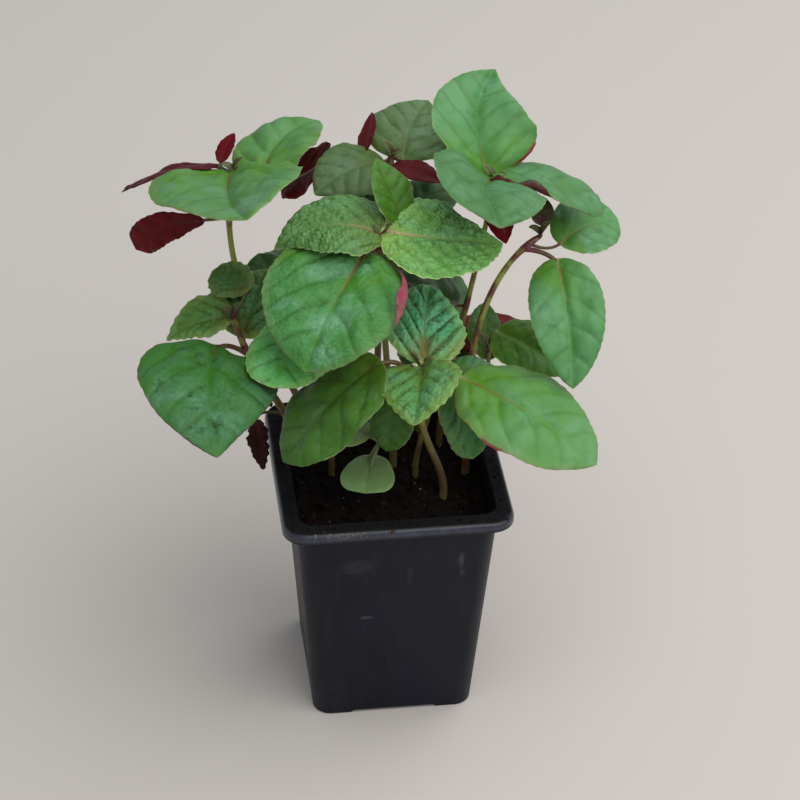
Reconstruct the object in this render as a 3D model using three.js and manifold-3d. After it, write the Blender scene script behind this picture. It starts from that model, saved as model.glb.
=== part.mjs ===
import * as THREE from "three";
import Module from "manifold-3d";

const wasm = await Module();
wasm.setup();

// Millimetres. The pot stands on z = 0, centred on the origin, its sides along X and Y.
const POT = {
  height: 102,
  foot: 64, // outer width on the ground
  neck: 79, // outer width just under the rim
  rim: 90, // outer width of the rim
  wall: 1.2,
  floor: 3,
  lipDrop: 4.6, // depth of the turned-down edge of the rim
  lipWall: 1.4,
  flange: 1.4, // thickness of the flat top of the rim
  edge: 0.6, // rounding of the rim and foot
  footRadius: 6,
  neckRadius: 8.5,
  rimRadius: 10,
};
const ARCH = { width: 34, height: 1.4, depth: 4 }; // low gap between the feet on each side
const DRAIN = { radius: 3.5, at: 17, sides: 14 }; // one hole near each corner of the floor
const CORNER_STEPS = 5; // faces round each corner
const GAP = 0.3; // between two pieces that meet

const SOIL = { level: 91, bumps: 1.1, holeDepth: 12, holeSides: 12, shoulder: 3 };
const SOIL_RINGS = [0.99, 0.86, 0.7, 0.52, 0.34, 0.16]; // of the width, on the bumpy top
const STEM = { sides: 7, steps: 7, straight: 3 }; // straight: upright length above the soil
const PETIOLE = {
  arch: 0.5, // how far it runs on in line with the blade, as a share of its span
  sides: 5,
  steps: 3,
  thin: 0.55, // radius under a small leaf
  thick: 0.95, // radius under a large one
  perLength: 1 / 55, // radius for each mm of leaf
  sink: 0.72, // of its axis below the leaf's upper face
  tuck: 5, // length that runs on under the midrib
  tuckLeaf: 30, // a shorter leaf has a shorter tuck
  taper: 0.8,
};
const BLADE = {
  thickness: 0.8,
  tooth: 0.7, // how far a tooth stands out of the margin
  pitch: 7.5, // of the teeth along the midrib
  fewest: 4,
  most: 7, // teeth on a side
  backset: 0.08, // how far the two lobes reach back past the leaf base
  bulge: 0.5, // roundness of the base: half width grows with this power of the length
  cup: 0.2, // how far the margins curl back down
  quarter: 0.55, // of the half width, where the fold between rib and margin lies
};

// Each leaf: base point, heading (turn about Z from +X, rise above level, roll about the
// heading), length, width, total droop and swerve from base to tip, fold of the two halves,
// and taper, which is larger for a sharper tip. "from" is how far up the stem its petiole starts.
const PLANTS = {
  centre: {
    foot: [4, 11], bend: [-3, 8, 160], top: [-2, 7, 202], thick: [1.5, 1.0],
    leaves: [
      { at: [-15, 3, 199], turn: -120, rise: -34, length: 52, width: 54, roll: -2,
        droop: 38, swerve: -14, fold: 0.22, taper: 0.7, from: 0.93 },
      { at: [-4, 7, 204], turn: 176, rise: -10, length: 42, width: 37, roll: -5,
        droop: 58, swerve: 34, fold: 0.24, taper: 1.1, from: 1 },
      { at: [1, 7, 204], turn: 5, rise: -13, length: 46, width: 41, roll: 14,
        droop: 15, swerve: 40, fold: 0.22, taper: 0.95, from: 1 },
      { at: [6, 14, 205], turn: 120, rise: 48, length: 25, width: 20, roll: 12,
        droop: 20, swerve: -9, fold: 0.32, taper: 0.9, from: 0.93 },
    ],
  },
  front: {
    foot: [21, -12], bend: [7, -14, 122], top: [10, -17, 158], thick: [1.5, 1.1],
    leaves: [
      { at: [12, -15, 160], turn: 79, rise: 19, length: 36, width: 31, roll: 12,
        droop: 12, swerve: -18, fold: 0.3, taper: 0.85, from: 1 },
      { at: [10, -19, 160], turn: -103, rise: -9, length: 33, width: 31, roll: 8,
        droop: 37, swerve: -7, fold: 0.35, taper: 0.9, from: 1 },
      { at: [-9, -22, 163], turn: -159, rise: -40, length: 50, width: 40, roll: 0,
        droop: 26, swerve: 3, fold: 0.1, taper: 0.6, from: 0.92 },
      { at: [30, -16, 149], turn: -37, rise: -19, length: 58, width: 46, roll: 5,
        droop: 23, swerve: 0, fold: 0.14, taper: 0.7, from: 0.92 },
    ],
  },
  left: {
    foot: [-34, 26], bend: [-50, 18, 128], top: [-58, 21, 160], thick: [1.6, 1.1],
    leaves: [
      { at: [-66, 3, 158], turn: -94, rise: -11, length: 58, width: 53, roll: -10,
        droop: 46, swerve: 26, fold: 0.12, taper: 0.95, from: 0.8 },
      { at: [-59.8, 23, 159.2], turn: -176, rise: -19, length: 26, width: 24, roll: -7,
        droop: 25, swerve: 18, fold: 0.46, taper: 1.2, from: 1 },
      { at: [-52.3, 31.1, 165.9], turn: 131, rise: 2, length: 18, width: 17, roll: -22,
        droop: 14, swerve: 4, fold: 0.18, taper: 0.56, from: 1, arch: 0.1 },
      { at: [-54, 22, 152], turn: 62, rise: 34, length: 28, width: 27, roll: 0,
        droop: 25, swerve: 0, fold: 0.25, taper: 0.8, from: 0.85 },
      { at: [-50.3, 15, 113], turn: -84, rise: -42, length: 19, width: 9, roll: 40,
        droop: 30, swerve: 0, fold: 0.3, taper: 0.9, from: 0.3 },
    ],
  },
  upper_left: {
    foot: [-28, 32], bend: [-66, 48, 150], top: [-54, 59, 202], thick: [1.5, 1.0],
    leaves: [
      { at: [-56, 55.6, 203.5], turn: -88, rise: 15, length: 62, width: 59, roll: 6,
        droop: -12, swerve: 24, fold: 0.42, taper: 0.85, from: 1 },
      { at: [-43.5, 58, 200], turn: 53, rise: 4, length: 46, width: 32, roll: -10,
        droop: 33, swerve: -38, fold: 0.28, taper: 0.72, from: 1 },
      { at: [-62, 66, 202], turn: 175, rise: -19, length: 38, width: 31, roll: 26,
        droop: 33, swerve: -9, fold: 0.2, taper: 0.82, from: 0.96 },
      { at: [-33, 65, 194], turn: 52, rise: -7, length: 32, width: 27, roll: -72,
        droop: -8, swerve: 25, fold: 0.2, taper: 0.75, from: 0.92 },
      { at: [-68, 65.8, 176.1], turn: 151, rise: -35, length: 35, width: 14, roll: -98,
        droop: 54, swerve: -34, fold: 0.1, taper: 0.3, from: 0.88 },
      { at: [-58.7, 62.9, 205.4], turn: 42, rise: 47, length: 12, width: 7, roll: 0,
        droop: 5, swerve: 9, fold: 0.49, taper: 0.78, from: 1 },
    ],
  },
  top_right: {
    foot: [24, 22], bend: [36, 20, 165], top: [44, 31, 209], thick: [1.3, 0.9],
    leaves: [
      { at: [41.5, 36, 211.8], turn: 78, rise: 29, length: 46, width: 43, roll: 18,
        droop: 26, swerve: -58, fold: 0.52, taper: 1.1, from: 1 },
      { at: [43, 27, 211], turn: -97, rise: 12, length: 54, width: 45, roll: -20,
        droop: 48, swerve: 42, fold: 0.42, taper: 0.5, from: 1 },
      { at: [42.6, 34.2, 210.3], turn: -15, rise: -17, length: 49, width: 34, roll: -12,
        droop: 53, swerve: -21, fold: 0.15, taper: 0.48, from: 0.97 },
      { at: [44.2, 27.4, 202.2], turn: -75, rise: -51, length: 17, width: 17, roll: 152,
        droop: 20, swerve: 0, fold: 0.26, taper: 0.9, from: 0.92 },
      { at: [29, 27, 157], turn: 155, rise: 14, length: 28, width: 26, roll: 0,
        droop: 20, swerve: 0, fold: 0.2, taper: 0.8, from: 0.6 },
    ],
  },
  right: {
    foot: [32, 3], bend: [28, 9, 177], top: [61, 20, 190], thick: [1.6, 1.0],
    leaves: [
      { at: [67.6, 14.6, 179], turn: -89, rise: -42, length: 50, width: 29, roll: 4,
        droop: 46, swerve: -4, fold: 0.32, taper: 0.8, from: 0.92 },
      { at: [71, 25, 184], turn: 36, rise: -6, length: 32, width: 26, roll: 26,
        droop: 33, swerve: -17, fold: 0.22, taper: 0.55, from: 0.95 },
      { at: [62, 24, 193], turn: 80, rise: 30, length: 12, width: 9, roll: 0,
        droop: 10, swerve: 0, fold: 0.4, taper: 0.9, from: 1 },
    ],
  },
  back: {
    foot: [0, 34], bend: [2, 46, 160], top: [8, 60, 205], thick: [1.5, 1.0],
    leaves: [
      { at: [13, 63, 203], turn: 67, rise: 7, length: 38, width: 33, roll: 7,
        droop: 17, swerve: -20, fold: 0.2, taper: 0.9, from: 1 },
      { at: [3, 58, 204], turn: -153, rise: -10, length: 31, width: 28, roll: -16,
        droop: 36, swerve: 16, fold: 0.15, taper: 0.9, from: 1 },
      { at: [-2, 66, 205], turn: 72, rise: 30, length: 17, width: 11, roll: -50,
        droop: 10, swerve: 0, fold: 0.3, taper: 0.8, from: 0.98 },
      { at: [9.5, 57, 202], turn: -22, rise: -12, length: 19, width: 15, roll: 0,
        droop: 20, swerve: 0, fold: 0.3, taper: 0.8, from: 0.97 },
      { at: [7, 50, 182], turn: 30, rise: 8, length: 34, width: 30, roll: 0,
        droop: 30, swerve: 0, fold: 0.2, taper: 0.8, from: 0.85 },
      { at: [-1, 60, 184], turn: 85, rise: 0, length: 36, width: 32, roll: 0,
        droop: 35, swerve: 0, fold: 0.2, taper: 0.8, from: 0.75 },
      { at: [-4, 48, 146], turn: 115, rise: 5, length: 36, width: 32, roll: 0,
        droop: 35, swerve: 10, fold: 0.2, taper: 0.8, from: 0.5 },
      { at: [10, 48, 148], turn: 55, rise: 5, length: 32, width: 28, roll: 0,
        droop: 35, swerve: -10, fold: 0.2, taper: 0.8, from: 0.5 },
    ],
  },
  inner_left: {
    foot: [-21, 8], bend: [-18, 9, 134], top: [-19, 9, 166], thick: [1.3, 0.9],
    leaves: [
      { at: [-23.3, 8, 169.6], turn: -126, rise: -15, length: 43, width: 34, roll: -3,
        droop: 6, swerve: 27, fold: 0.05, taper: 0.52, from: 1 },
      { at: [-18, 15, 152], turn: 75, rise: 10, length: 28, width: 26, roll: 0,
        droop: 30, swerve: 0, fold: 0.2, taper: 0.8, from: 1 },
    ],
  },
  right_mid: {
    foot: [33, 16], bend: [43, 18, 115], top: [42, 17, 141], thick: [1.2, 0.8],
    leaves: [
      { at: [41, 17.6, 137.3], turn: 81, rise: 21, length: 26, width: 15, roll: 20,
        droop: 22, swerve: -8, fold: 0.24, taper: 0.84, from: 1 },
      { at: [47, 20, 146], turn: -40, rise: -16, length: 32, width: 27, roll: 10,
        droop: 35, swerve: 0, fold: 0.2, taper: 0.8, from: 1 },
    ],
  },
  low: {
    foot: [12, 4], bend: [16, 0, 118], top: [18, -3, 137], thick: [1.2, 0.8],
    leaves: [
      { at: [24.6, -2.6, 136.1], turn: -64, rise: -57, length: 29, width: 22, roll: -1,
        droop: 39, swerve: -6, fold: 0.29, taper: 0.6, from: 1 },
      { at: [3, -5, 136], turn: -120, rise: -62, length: 22, width: 18, roll: 0,
        droop: 25, swerve: 0, fold: 0.15, taper: 0.6, from: 1 },
      { at: [25.7, -5.7, 148.1], turn: 6, rise: -11, length: 18, width: 15, roll: 3,
        droop: 22, swerve: -2, fold: 0.17, taper: 0.88, from: 1 },
      { at: [22, 4, 149], turn: 102, rise: 36, length: 27, width: 18, roll: 0,
        droop: 15, swerve: 0, fold: 0.25, taper: 0.8, from: 1 },
    ],
  },
  seedling: {
    foot: [-10, -4], bend: [-8, -5, 108], top: [-4, -9, 118], thick: [0.9, 0.7],
    leaves: [
      { at: [-8.8, -15, 109.6], turn: -103, rise: -6, length: 14, width: 21, roll: 0,
        droop: 30, swerve: 5, fold: 0.18, taper: 0.42, from: 1, backset: 0.9 },
      { at: [-8, -4, 118], turn: 150, rise: 5, length: 13, width: 20, roll: 0,
        droop: 20, swerve: 0, fold: 0.05, taper: 0.5, from: 1 },
    ],
  },
  back_left: {
    foot: [-14, 28], bend: [-26, 36, 130], top: [-35, 42, 158], thick: [1.4, 0.9],
    leaves: [
      { at: [-39, 43, 158], turn: 112, rise: 26, length: 17, width: 22, roll: 0,
        droop: 20, swerve: 0, fold: 0.2, taper: 0.8, from: 1 },
      { at: [-31, 48, 157], turn: 85, rise: -14, length: 38, width: 36, roll: 0,
        droop: 40, swerve: 0, fold: 0.2, taper: 0.8, from: 1 },
      { at: [-27, 42, 128], turn: 100, rise: 0, length: 30, width: 28, roll: 0,
        droop: 35, swerve: 0, fold: 0.2, taper: 0.8, from: 0.6 },
    ],
  },
  back_right: {
    foot: [16, 32], bend: [24, 40, 114], top: [32, 46, 131], thick: [1.4, 0.9],
    leaves: [
      { at: [34, 46, 125], turn: 28, rise: -5, length: 34, width: 26, roll: 0,
        droop: 30, swerve: 0, fold: 0.2, taper: 0.8, from: 1 },
      { at: [28, 51, 133], turn: 105, rise: 10, length: 36, width: 32, roll: 0,
        droop: 40, swerve: 0, fold: 0.2, taper: 0.8, from: 1 },
      { at: [23, 42, 114], turn: 75, rise: 0, length: 32, width: 30, roll: 0,
        droop: 35, swerve: 0, fold: 0.2, taper: 0.8, from: 0.6 },
    ],
  },
};

const rad = THREE.MathUtils.degToRad;
const vec = (p) => new THREE.Vector3(...p);

function solid(points, triangles) {
  return new wasm.Manifold(new wasm.Mesh({
    numProp: 3,
    vertProperties: new Float32Array(points.flatMap((p) => (p.isVector3 ? p.toArray() : p))),
    triVerts: new Uint32Array(triangles.flat()),
  }));
}

// A closed skin through rings of equal count, each ring anticlockwise seen from where it leads.
function loft(rings) {
  const count = rings[0].length;
  const points = rings.flat();
  const triangles = [];
  for (let i = 0; i < rings.length - 1; i++)
    for (let j = 0; j < count; j++) {
      const a = i * count + j, b = i * count + ((j + 1) % count);
      triangles.push([a, b, b + count], [a, b + count, a + count]);
    }
  for (let j = 1; j < count - 1; j++) {
    const last = (rings.length - 1) * count;
    triangles.push([0, j + 1, j], [last, last + j, last + j + 1]);
  }
  return solid(points, triangles);
}

function roundedSquare(width, radius, z) {
  const ring = [];
  for (const [sx, sy, start] of [[1, 1, 0], [-1, 1, 90], [-1, -1, 180], [1, -1, 270]])
    for (let k = 0; k <= CORNER_STEPS; k++) {
      const a = rad(start + (90 * k) / CORNER_STEPS);
      const x = sx * (width / 2 - radius) + radius * Math.cos(a);
      const y = sy * (width / 2 - radius) + radius * Math.sin(a);
      ring.push([x, y, typeof z === "function" ? z(x, y) : z]);
    }
  return ring;
}

function rod(x, y, radius, low, high, sides) {
  const ring = (z) => Array.from({ length: sides }, (_, k) => {
    const a = (2 * Math.PI * (k + 0.5)) / sides;
    return [x + radius * Math.cos(a), y + radius * Math.sin(a), z];
  });
  return loft([ring(low), ring(high)]);
}

function block(low, high) {
  const ring = (z) => [[low[0], low[1], z], [high[0], low[1], z], [high[0], high[1], z],
    [low[0], high[1], z]];
  return loft([ring(low[2]), ring(high[2])]);
}

// Outer width and corner radius of the tapered wall at height z.
function wallAt(z) {
  const t = z / (POT.height - POT.flange);
  return {
    width: THREE.MathUtils.lerp(POT.foot, POT.neck, t),
    radius: THREE.MathUtils.lerp(POT.footRadius, POT.neckRadius, t),
  };
}

function makePot() {
  const ring = (width, radius, z) => roundedSquare(width, radius, z);
  const outer = (z, inset = 0) => {
    const w = wallAt(z);
    return ring(w.width - 2 * inset, w.radius - inset, z);
  };
  const top = POT.height, under = top - POT.flange, lipIn = POT.rim - 2 * POT.lipWall;
  const edge = POT.edge;
  let pot = loft([
    outer(0, edge),
    outer(1),
    outer(under),
    ring(lipIn, POT.rimRadius - POT.lipWall, under),
    ring(lipIn, POT.rimRadius - POT.lipWall, top - POT.lipDrop),
    ring(POT.rim, POT.rimRadius, top - POT.lipDrop),
    ring(POT.rim, POT.rimRadius, top - 2 * edge),
    ring(POT.rim - edge, POT.rimRadius - edge / 2, top - edge / 2),
    ring(POT.rim - 3 * edge, POT.rimRadius - edge, top),
    outer(top, POT.wall - edge),
    outer(top - 2 * edge, POT.wall),
    outer(POT.floor + 1, POT.wall),
    outer(POT.floor, POT.wall + 1),
  ]);
  for (const x of [-DRAIN.at, DRAIN.at])
    for (const y of [-DRAIN.at, DRAIN.at])
      pot = pot.subtract(rod(x, y, DRAIN.radius, -1, POT.floor + 1, DRAIN.sides));
  const half = ARCH.width / 2, inside = POT.foot / 2 - ARCH.depth, outside = POT.foot;
  for (const side of [-1, 1]) {
    const far = [side * inside, side * outside].sort((a, b) => a - b);
    pot = pot.subtract(block([-half, far[0], -1], [half, far[1], ARCH.height]));
    pot = pot.subtract(block([far[0], -half, -1], [far[1], half, ARCH.height]));
  }
  return pot;
}

function makeSoil(feet) {
  const inner = (z, inset) => {
    const w = wallAt(z);
    return [w.width - 2 * (POT.wall + inset), w.radius - POT.wall - inset];
  };
  const bumpy = (x, y) => SOIL.level + SOIL.bumps *
    (Math.sin(x / 5.2 + 1.3) * Math.cos(y / 6.1) + 0.6 * Math.sin(x / 2.9 - y / 3.7));
  const [wide, corner] = inner(SOIL.level, GAP);
  const top = SOIL_RINGS.map((k) => roundedSquare(wide * k, corner * k, bumpy));
  let soil = loft([
    roundedSquare(...inner(POT.floor + 1, GAP + 1), POT.floor + GAP),
    roundedSquare(...inner(POT.floor + 2, GAP), POT.floor + 2),
    roundedSquare(...inner(SOIL.level - SOIL.shoulder, GAP), SOIL.level - SOIL.shoulder),
    ...top,
  ]);
  for (const { foot: [x, y], thick } of feet)
    soil = soil.subtract(
      rod(x, y, thick[0] + GAP, SOIL.level - SOIL.holeDepth, POT.height, SOIL.holeSides));
  return soil;
}

// A tapered tube through points, its ends flat.
function tube(path, radii, sides) {
  const frames = path.map((p, i) => path[Math.min(i + 1, path.length - 1)].clone()
    .sub(path[Math.max(i - 1, 0)]).normalize());
  let side = new THREE.Vector3(1, 0, 0);
  const rings = path.map((p, i) => {
    side = side.clone().addScaledVector(frames[i], -side.dot(frames[i])).normalize();
    const other = frames[i].clone().cross(side);
    return Array.from({ length: sides }, (_, k) => {
      const a = (2 * Math.PI * k) / sides;
      return p.clone().addScaledVector(side, radii[i] * Math.cos(a))
        .addScaledVector(other, radii[i] * Math.sin(a));
    });
  });
  return loft(rings);
}

// Straight up out of the soil, then a curve that leans to the top.
function stemCurve({ foot: [x, y], bend, top }) {
  const start = new THREE.Vector3(x, y, SOIL.level + STEM.straight);
  const lift = start.clone().setZ(start.z + (top[2] - SOIL.level) / 4);
  return new THREE.CubicBezierCurve3(start, lift, vec(bend), vec(top));
}

// Midrib points with the heading, the side to the right of it and the upward normal.
function midrib(leaf, steps) {
  const frame = (t) => {
    const az = rad(leaf.turn + leaf.swerve * (t - 0.5));
    const up = rad(leaf.rise + leaf.droop * (0.5 - t));
    const ahead = new THREE.Vector3(
      Math.cos(az) * Math.cos(up), Math.sin(az) * Math.cos(up), Math.sin(up));
    const side = new THREE.Vector3(Math.sin(az), -Math.cos(az), 0)
      .applyAxisAngle(ahead, rad(leaf.roll));
    return { ahead, side, normal: side.clone().cross(ahead) };
  };
  const at = vec(leaf.at);
  return Array.from({ length: 2 * steps + 1 }, (_, i) => {
    const t = i / (2 * steps);
    if (i) at.addScaledVector(frame(t - 0.25 / steps).ahead, leaf.length / (2 * steps));
    return { at: at.clone(), t, ...frame(t) };
  });
}

// The blade: a toothed, cupped sheet whose two faces are triangulated alike.
function blade(leaf) {
  const teeth = Math.round(leaf.length / BLADE.pitch);
  const n = THREE.MathUtils.clamp(teeth, BLADE.fewest, BLADE.most);
  const rib = midrib(leaf, n);
  const outline = (t) => t ** BLADE.bulge * (1 - t) ** leaf.taper;
  const widest = outline(BLADE.bulge / (BLADE.bulge + leaf.taper));
  const backset = (leaf.backset ?? BLADE.backset) * leaf.length;
  const place = (i, s, extra = 0) => {
    const { at, t, ahead, side, normal } = rib[i];
    const half = (leaf.width / 2) * outline(t) / widest;
    const lift = half * (leaf.fold * Math.abs(s) - BLADE.cup * s * s);
    return at.clone().addScaledVector(side, s * (half + extra)).addScaledVector(normal, lift)
      .addScaledVector(ahead, -backset * Math.abs(s) * (1 - t) ** 3);
  };
  const points = [], normals = [];
  const add = (p, i) => {
    normals.push(rib[i].normal);
    return points.push(p) - 1;
  };
  const base = add(rib[0].at, 0), tip = add(rib[2 * n].at, 2 * n);
  const mid = [], halves = [-1, 1].map(() => ({ inner: [], margin: [], tooth: [] }));
  for (let i = 1; i < n; i++) mid[i] = add(rib[2 * i].at, 2 * i);
  [-1, 1].forEach((s, h) => {
    for (let i = 1; i < n; i++) {
      halves[h].inner[i] = add(place(2 * i, s * BLADE.quarter), 2 * i);
      halves[h].margin[i] = add(place(2 * i, s), 2 * i);
    }
    for (let i = 0; i < n; i++)
      halves[h].tooth[i] = add(place(2 * i + 1, s, BLADE.tooth), 2 * i + 1);
  });
  const faces = [];
  halves.forEach(({ inner, margin, tooth }, h) => {
    const face = (a, b, c) => faces.push(h ? [a, b, c] : [a, c, b]);
    face(base, inner[1], mid[1]);
    face(base, tooth[0], inner[1]);
    face(inner[1], tooth[0], margin[1]);
    for (let i = 1; i < n - 1; i++) {
      face(mid[i], inner[i], inner[i + 1]);
      face(mid[i], inner[i + 1], mid[i + 1]);
      face(inner[i], margin[i], tooth[i]);
      face(inner[i], tooth[i], inner[i + 1]);
      face(inner[i + 1], tooth[i], margin[i + 1]);
    }
    face(mid[n - 1], inner[n - 1], tip);
    face(inner[n - 1], margin[n - 1], tooth[n - 1]);
    face(inner[n - 1], tooth[n - 1], tip);
  });
  const count = points.length;
  const below = points.map((p, i) => p.clone().addScaledVector(normals[i], -BLADE.thickness));
  const walls = [];
  const edge = (h) => [base, ...Array.from({ length: n }, (_, i) =>
    (i ? [halves[h].margin[i], halves[h].tooth[i]] : [halves[h].tooth[i]])).flat(), tip];
  const loop = [...edge(1), ...edge(0).reverse().slice(1, -1)];
  loop.forEach((a, k) => {
    const b = loop[(k + 1) % loop.length];
    walls.push([a, a + count, b + count], [a, b + count, b]);
  });
  return solid([...points, ...below],
    [...faces, ...faces.map(([a, b, c]) => [a + count, c + count, b + count]), ...walls]);
}

// The petiole arches off the stem and runs on under the midrib.
function petiole(leaf, curve) {
  const arch = leaf.arch ?? PETIOLE.arch;
  const start = curve.getPoint(leaf.from);
  const rib = midrib(leaf, 1)[0];
  const end = rib.at.clone().addScaledVector(rib.normal, -PETIOLE.sink);
  const bow = end.clone().addScaledVector(rib.ahead, -start.distanceTo(end) * arch);
  const path = new THREE.QuadraticBezierCurve3(start, bow, end).getPoints(PETIOLE.steps);
  const tuck = PETIOLE.tuck * Math.min(1, leaf.length / PETIOLE.tuckLeaf);
  path.push(end.clone().addScaledVector(rib.ahead, tuck));
  const thick = THREE.MathUtils.clamp(
    leaf.length * PETIOLE.perLength, PETIOLE.thin, PETIOLE.thick);
  const radii = path.map((_, i) => thick * (i > PETIOLE.steps ? PETIOLE.taper : 1));
  return tube(path, radii, PETIOLE.sides);
}

function makePlant(plant) {
  const curve = stemCurve(plant);
  const root = new THREE.Vector3(...plant.foot, SOIL.level - SOIL.holeDepth + GAP);
  const path = [root, ...curve.getPoints(STEM.steps)];
  const [thick, thin] = plant.thick;
  const radii = path.map((_, i) => THREE.MathUtils.lerp(thick, thin, i / (path.length - 1)));
  let body = tube(path, radii, STEM.sides);
  for (const leaf of plant.leaves) body = body.add(blade(leaf)).add(petiole(leaf, curve));
  return body;
}

function mesh(name, body, material) {
  const { vertProperties, triVerts } = body.getMesh();
  const geometry = new THREE.BufferGeometry();
  geometry.setAttribute("position", new THREE.BufferAttribute(vertProperties, 3));
  geometry.setIndex(new THREE.BufferAttribute(triVerts, 1));
  geometry.computeVertexNormals();
  const made = new THREE.Mesh(geometry, material);
  made.name = name;
  return made;
}

const surface = (color, roughness) =>
  new THREE.MeshStandardMaterial({ color, roughness, metalness: 0 });
const plastic = surface(0x1c1d22, 0.45);
const compost = surface(0x1e1510, 0.95);
const leafy = surface(0x3f7a3a, 0.5);

const potted = new THREE.Group();
potted.add(mesh("pot", makePot(), plastic));
potted.add(mesh("soil", makeSoil(Object.values(PLANTS)), compost));
for (const [name, plant] of Object.entries(PLANTS))
  potted.add(mesh(name, makePlant(plant), leafy));

export default potted;
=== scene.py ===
import math
import random
from contextlib import contextmanager
from dataclasses import dataclass

import bmesh
import bpy
import numpy as np
from mathutils import Matrix, Vector, noise


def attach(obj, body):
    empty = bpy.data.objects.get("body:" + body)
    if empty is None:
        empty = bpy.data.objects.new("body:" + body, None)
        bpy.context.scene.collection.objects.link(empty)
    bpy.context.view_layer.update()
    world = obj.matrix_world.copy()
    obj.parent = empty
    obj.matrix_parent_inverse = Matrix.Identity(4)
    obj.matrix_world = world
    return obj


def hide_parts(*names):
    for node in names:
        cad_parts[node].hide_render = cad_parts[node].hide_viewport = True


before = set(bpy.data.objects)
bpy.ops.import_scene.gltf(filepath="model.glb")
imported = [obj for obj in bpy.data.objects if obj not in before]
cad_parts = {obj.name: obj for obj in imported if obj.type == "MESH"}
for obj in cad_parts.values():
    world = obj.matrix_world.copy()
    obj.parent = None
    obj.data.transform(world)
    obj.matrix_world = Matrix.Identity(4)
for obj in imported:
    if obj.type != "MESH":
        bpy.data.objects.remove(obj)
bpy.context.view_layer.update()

# A square nursery pot of young perilla plants. Sizes are in millimetres, in the frame's axes, and
# become metres where a mesh is placed.
MM = 0.001

# The photograph's camera, fitted to the pot's rim and foot.
CAMERA_AT = (-128.97, -939.46, 807.71)
CAMERA_RIGHT = (0.99146, -0.12944, 0.01620)
CAMERA_UP = (0.06211, 0.57760, 0.81395)
CAMERA_FOCAL = 3000 / 800  # focal length as a share of the picture's width
SENSOR = 36

# The pot.
POT_HEIGHT = 102
POT_FOOT = 64
POT_NECK = 79
POT_RIM = 90
POT_WALL = 1.4
LIP_DROP = 4.6  # height of the lip below the top of the rim
CORNER = 7.2
BEAD = 1.2  # inner radius of the rolled edge of the rim
EDGE_ROUND = 0.5  # rounding of the pot's sharp edges
ARCH = (34, 8, 2.8)  # width, depth and height of the cutter for the gap between two feet
DRAIN_RADIUS = 3.5
DRAIN_AT = 17  # how far the holes lie from the middle, along X and Y
SCUFFS_AND_REFLECTION = [  # across, height, half width, half height and strength of the pale marks on the front
    # The first two rows paint a reflection: a pale vertical streak at the right. The rest are scuffs.
    (24.7, 80.0, 1.5, 5.0, 0.5),
    (25.2, 73.6, 1.5, 3.0, 0.3),
    (-12.1, 52.4, 3.4, 1.2, 0.6),
    (-16.1, 79.5, 8.0, 5.0, 0.2),
    (4.8, 73.5, 2.0, 7.0, 0.12),
]

# The soil.
SOIL_LEVEL = 91
SOIL_WIDTH = 74
SOIL_CORNER = 0.18  # corner radius as a share of half the width
SOIL_DEPTH = 86  # from its top to its foot
SOIL_CELLS = 130  # cells along a side of its top
SOIL_GAP = 0.6  # how much narrower it is at its foot than the pot inside
CRUMB_MARGIN = 1.5  # how far crumbs keep from the soil's edge
STEM_FOOT = 79.3  # height at which a stem starts, in its hole

# Blades.
RIB_GROOVE = 0.5  # depth of the groove along the midrib at its base
BLADE = 0.36  # thickness
BULGE = 0.5  # half width grows with this power of the length at the base
CUP = 0.2  # how far a half arches down at its margin, to its width
BACKSET = 0.08  # how far the lobes at the base reach back, to the length
TIP = 0.08  # share of the length that narrows straight to the point
VEIN_BEND = 0.016  # how much further a side vein leans forward with each mm outwards
CURL_RADIUS = 1.0
CURL_ANGLE = 2.75  # how far a rolled margin turns over
TOOTH_BACK = 0.78  # share of a tooth that its long side takes
FULL_SIZE = 40  # length from which a leaf has grooves and quilts of full depth
COARSE = 1.15  # mm between vertices on a leaf that others hide
RIB_REACH = 0.88  # share of the blade that the raised rib under it runs along
MIDRIB_STEPS = 200
OUTLINE_STEPS = 800
STEM_RINGS = 40  # rings of vertices on a stem above its foot
ARCH_RINGS = 15  # and on a leaf stalk before it meets the blade
BUD_BELOW = 0.97  # share of the stem below which leaves have a bud at their stalk


def srgb(red, green, blue):
    """A colour given as screen values from 0 to 255, as the shaders take it."""
    def linear(value):
        share = value / 255
        return share / 12.92 if share <= 0.04045 else ((share + 0.055) / 1.055) ** 2.4
    return (linear(red), linear(green), linear(blue), 1)


def smooth(values):
    """A soft step from 0 to 1 as the values go from 0 to 1."""
    held = np.clip(values, 0, 1)
    return held * held * (3 - 2 * held)


# Modelling tools.

def start_piece(name, add, **settings):
    """Adds a primitive with nothing else selected."""
    bpy.ops.object.select_all(action="DESELECT")
    add(**settings)
    piece = bpy.context.object
    piece.name = piece.data.name = name
    bpy.ops.object.transform_apply(location=True, rotation=True, scale=True)
    return piece


@contextmanager
def editing(piece, mode="FACE"):
    bpy.context.view_layer.objects.active = piece
    bpy.ops.object.mode_set(mode="EDIT")
    bpy.ops.mesh.select_mode(type=mode)
    bpy.ops.mesh.select_all(action="DESELECT")
    yield
    bpy.ops.object.mode_set(mode="OBJECT")


def pick(piece, kind, test):
    """In edit mode, selects only the faces or edges that pass the test."""
    bpy.ops.mesh.select_all(action="DESELECT")
    parts = bmesh.from_edit_mesh(piece.data)
    for part in getattr(parts, kind):
        part.select_set(bool(test(part)))
    bmesh.update_edit_mesh(piece.data)


def modify(piece, kind, **settings):
    bpy.context.view_layer.objects.active = piece
    modifier = piece.modifiers.new(kind.lower(), kind)
    for setting, value in settings.items():
        setattr(modifier, setting, value)
    bpy.ops.object.modifier_apply(modifier=modifier.name)


def points_of(piece):
    flat = np.empty(3 * len(piece.data.vertices))
    piece.data.vertices.foreach_get("co", flat)
    return flat.reshape(-1, 3)


def put_points(piece, points):
    piece.data.vertices.foreach_set("co", np.ravel(points))
    piece.data.update()


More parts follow.
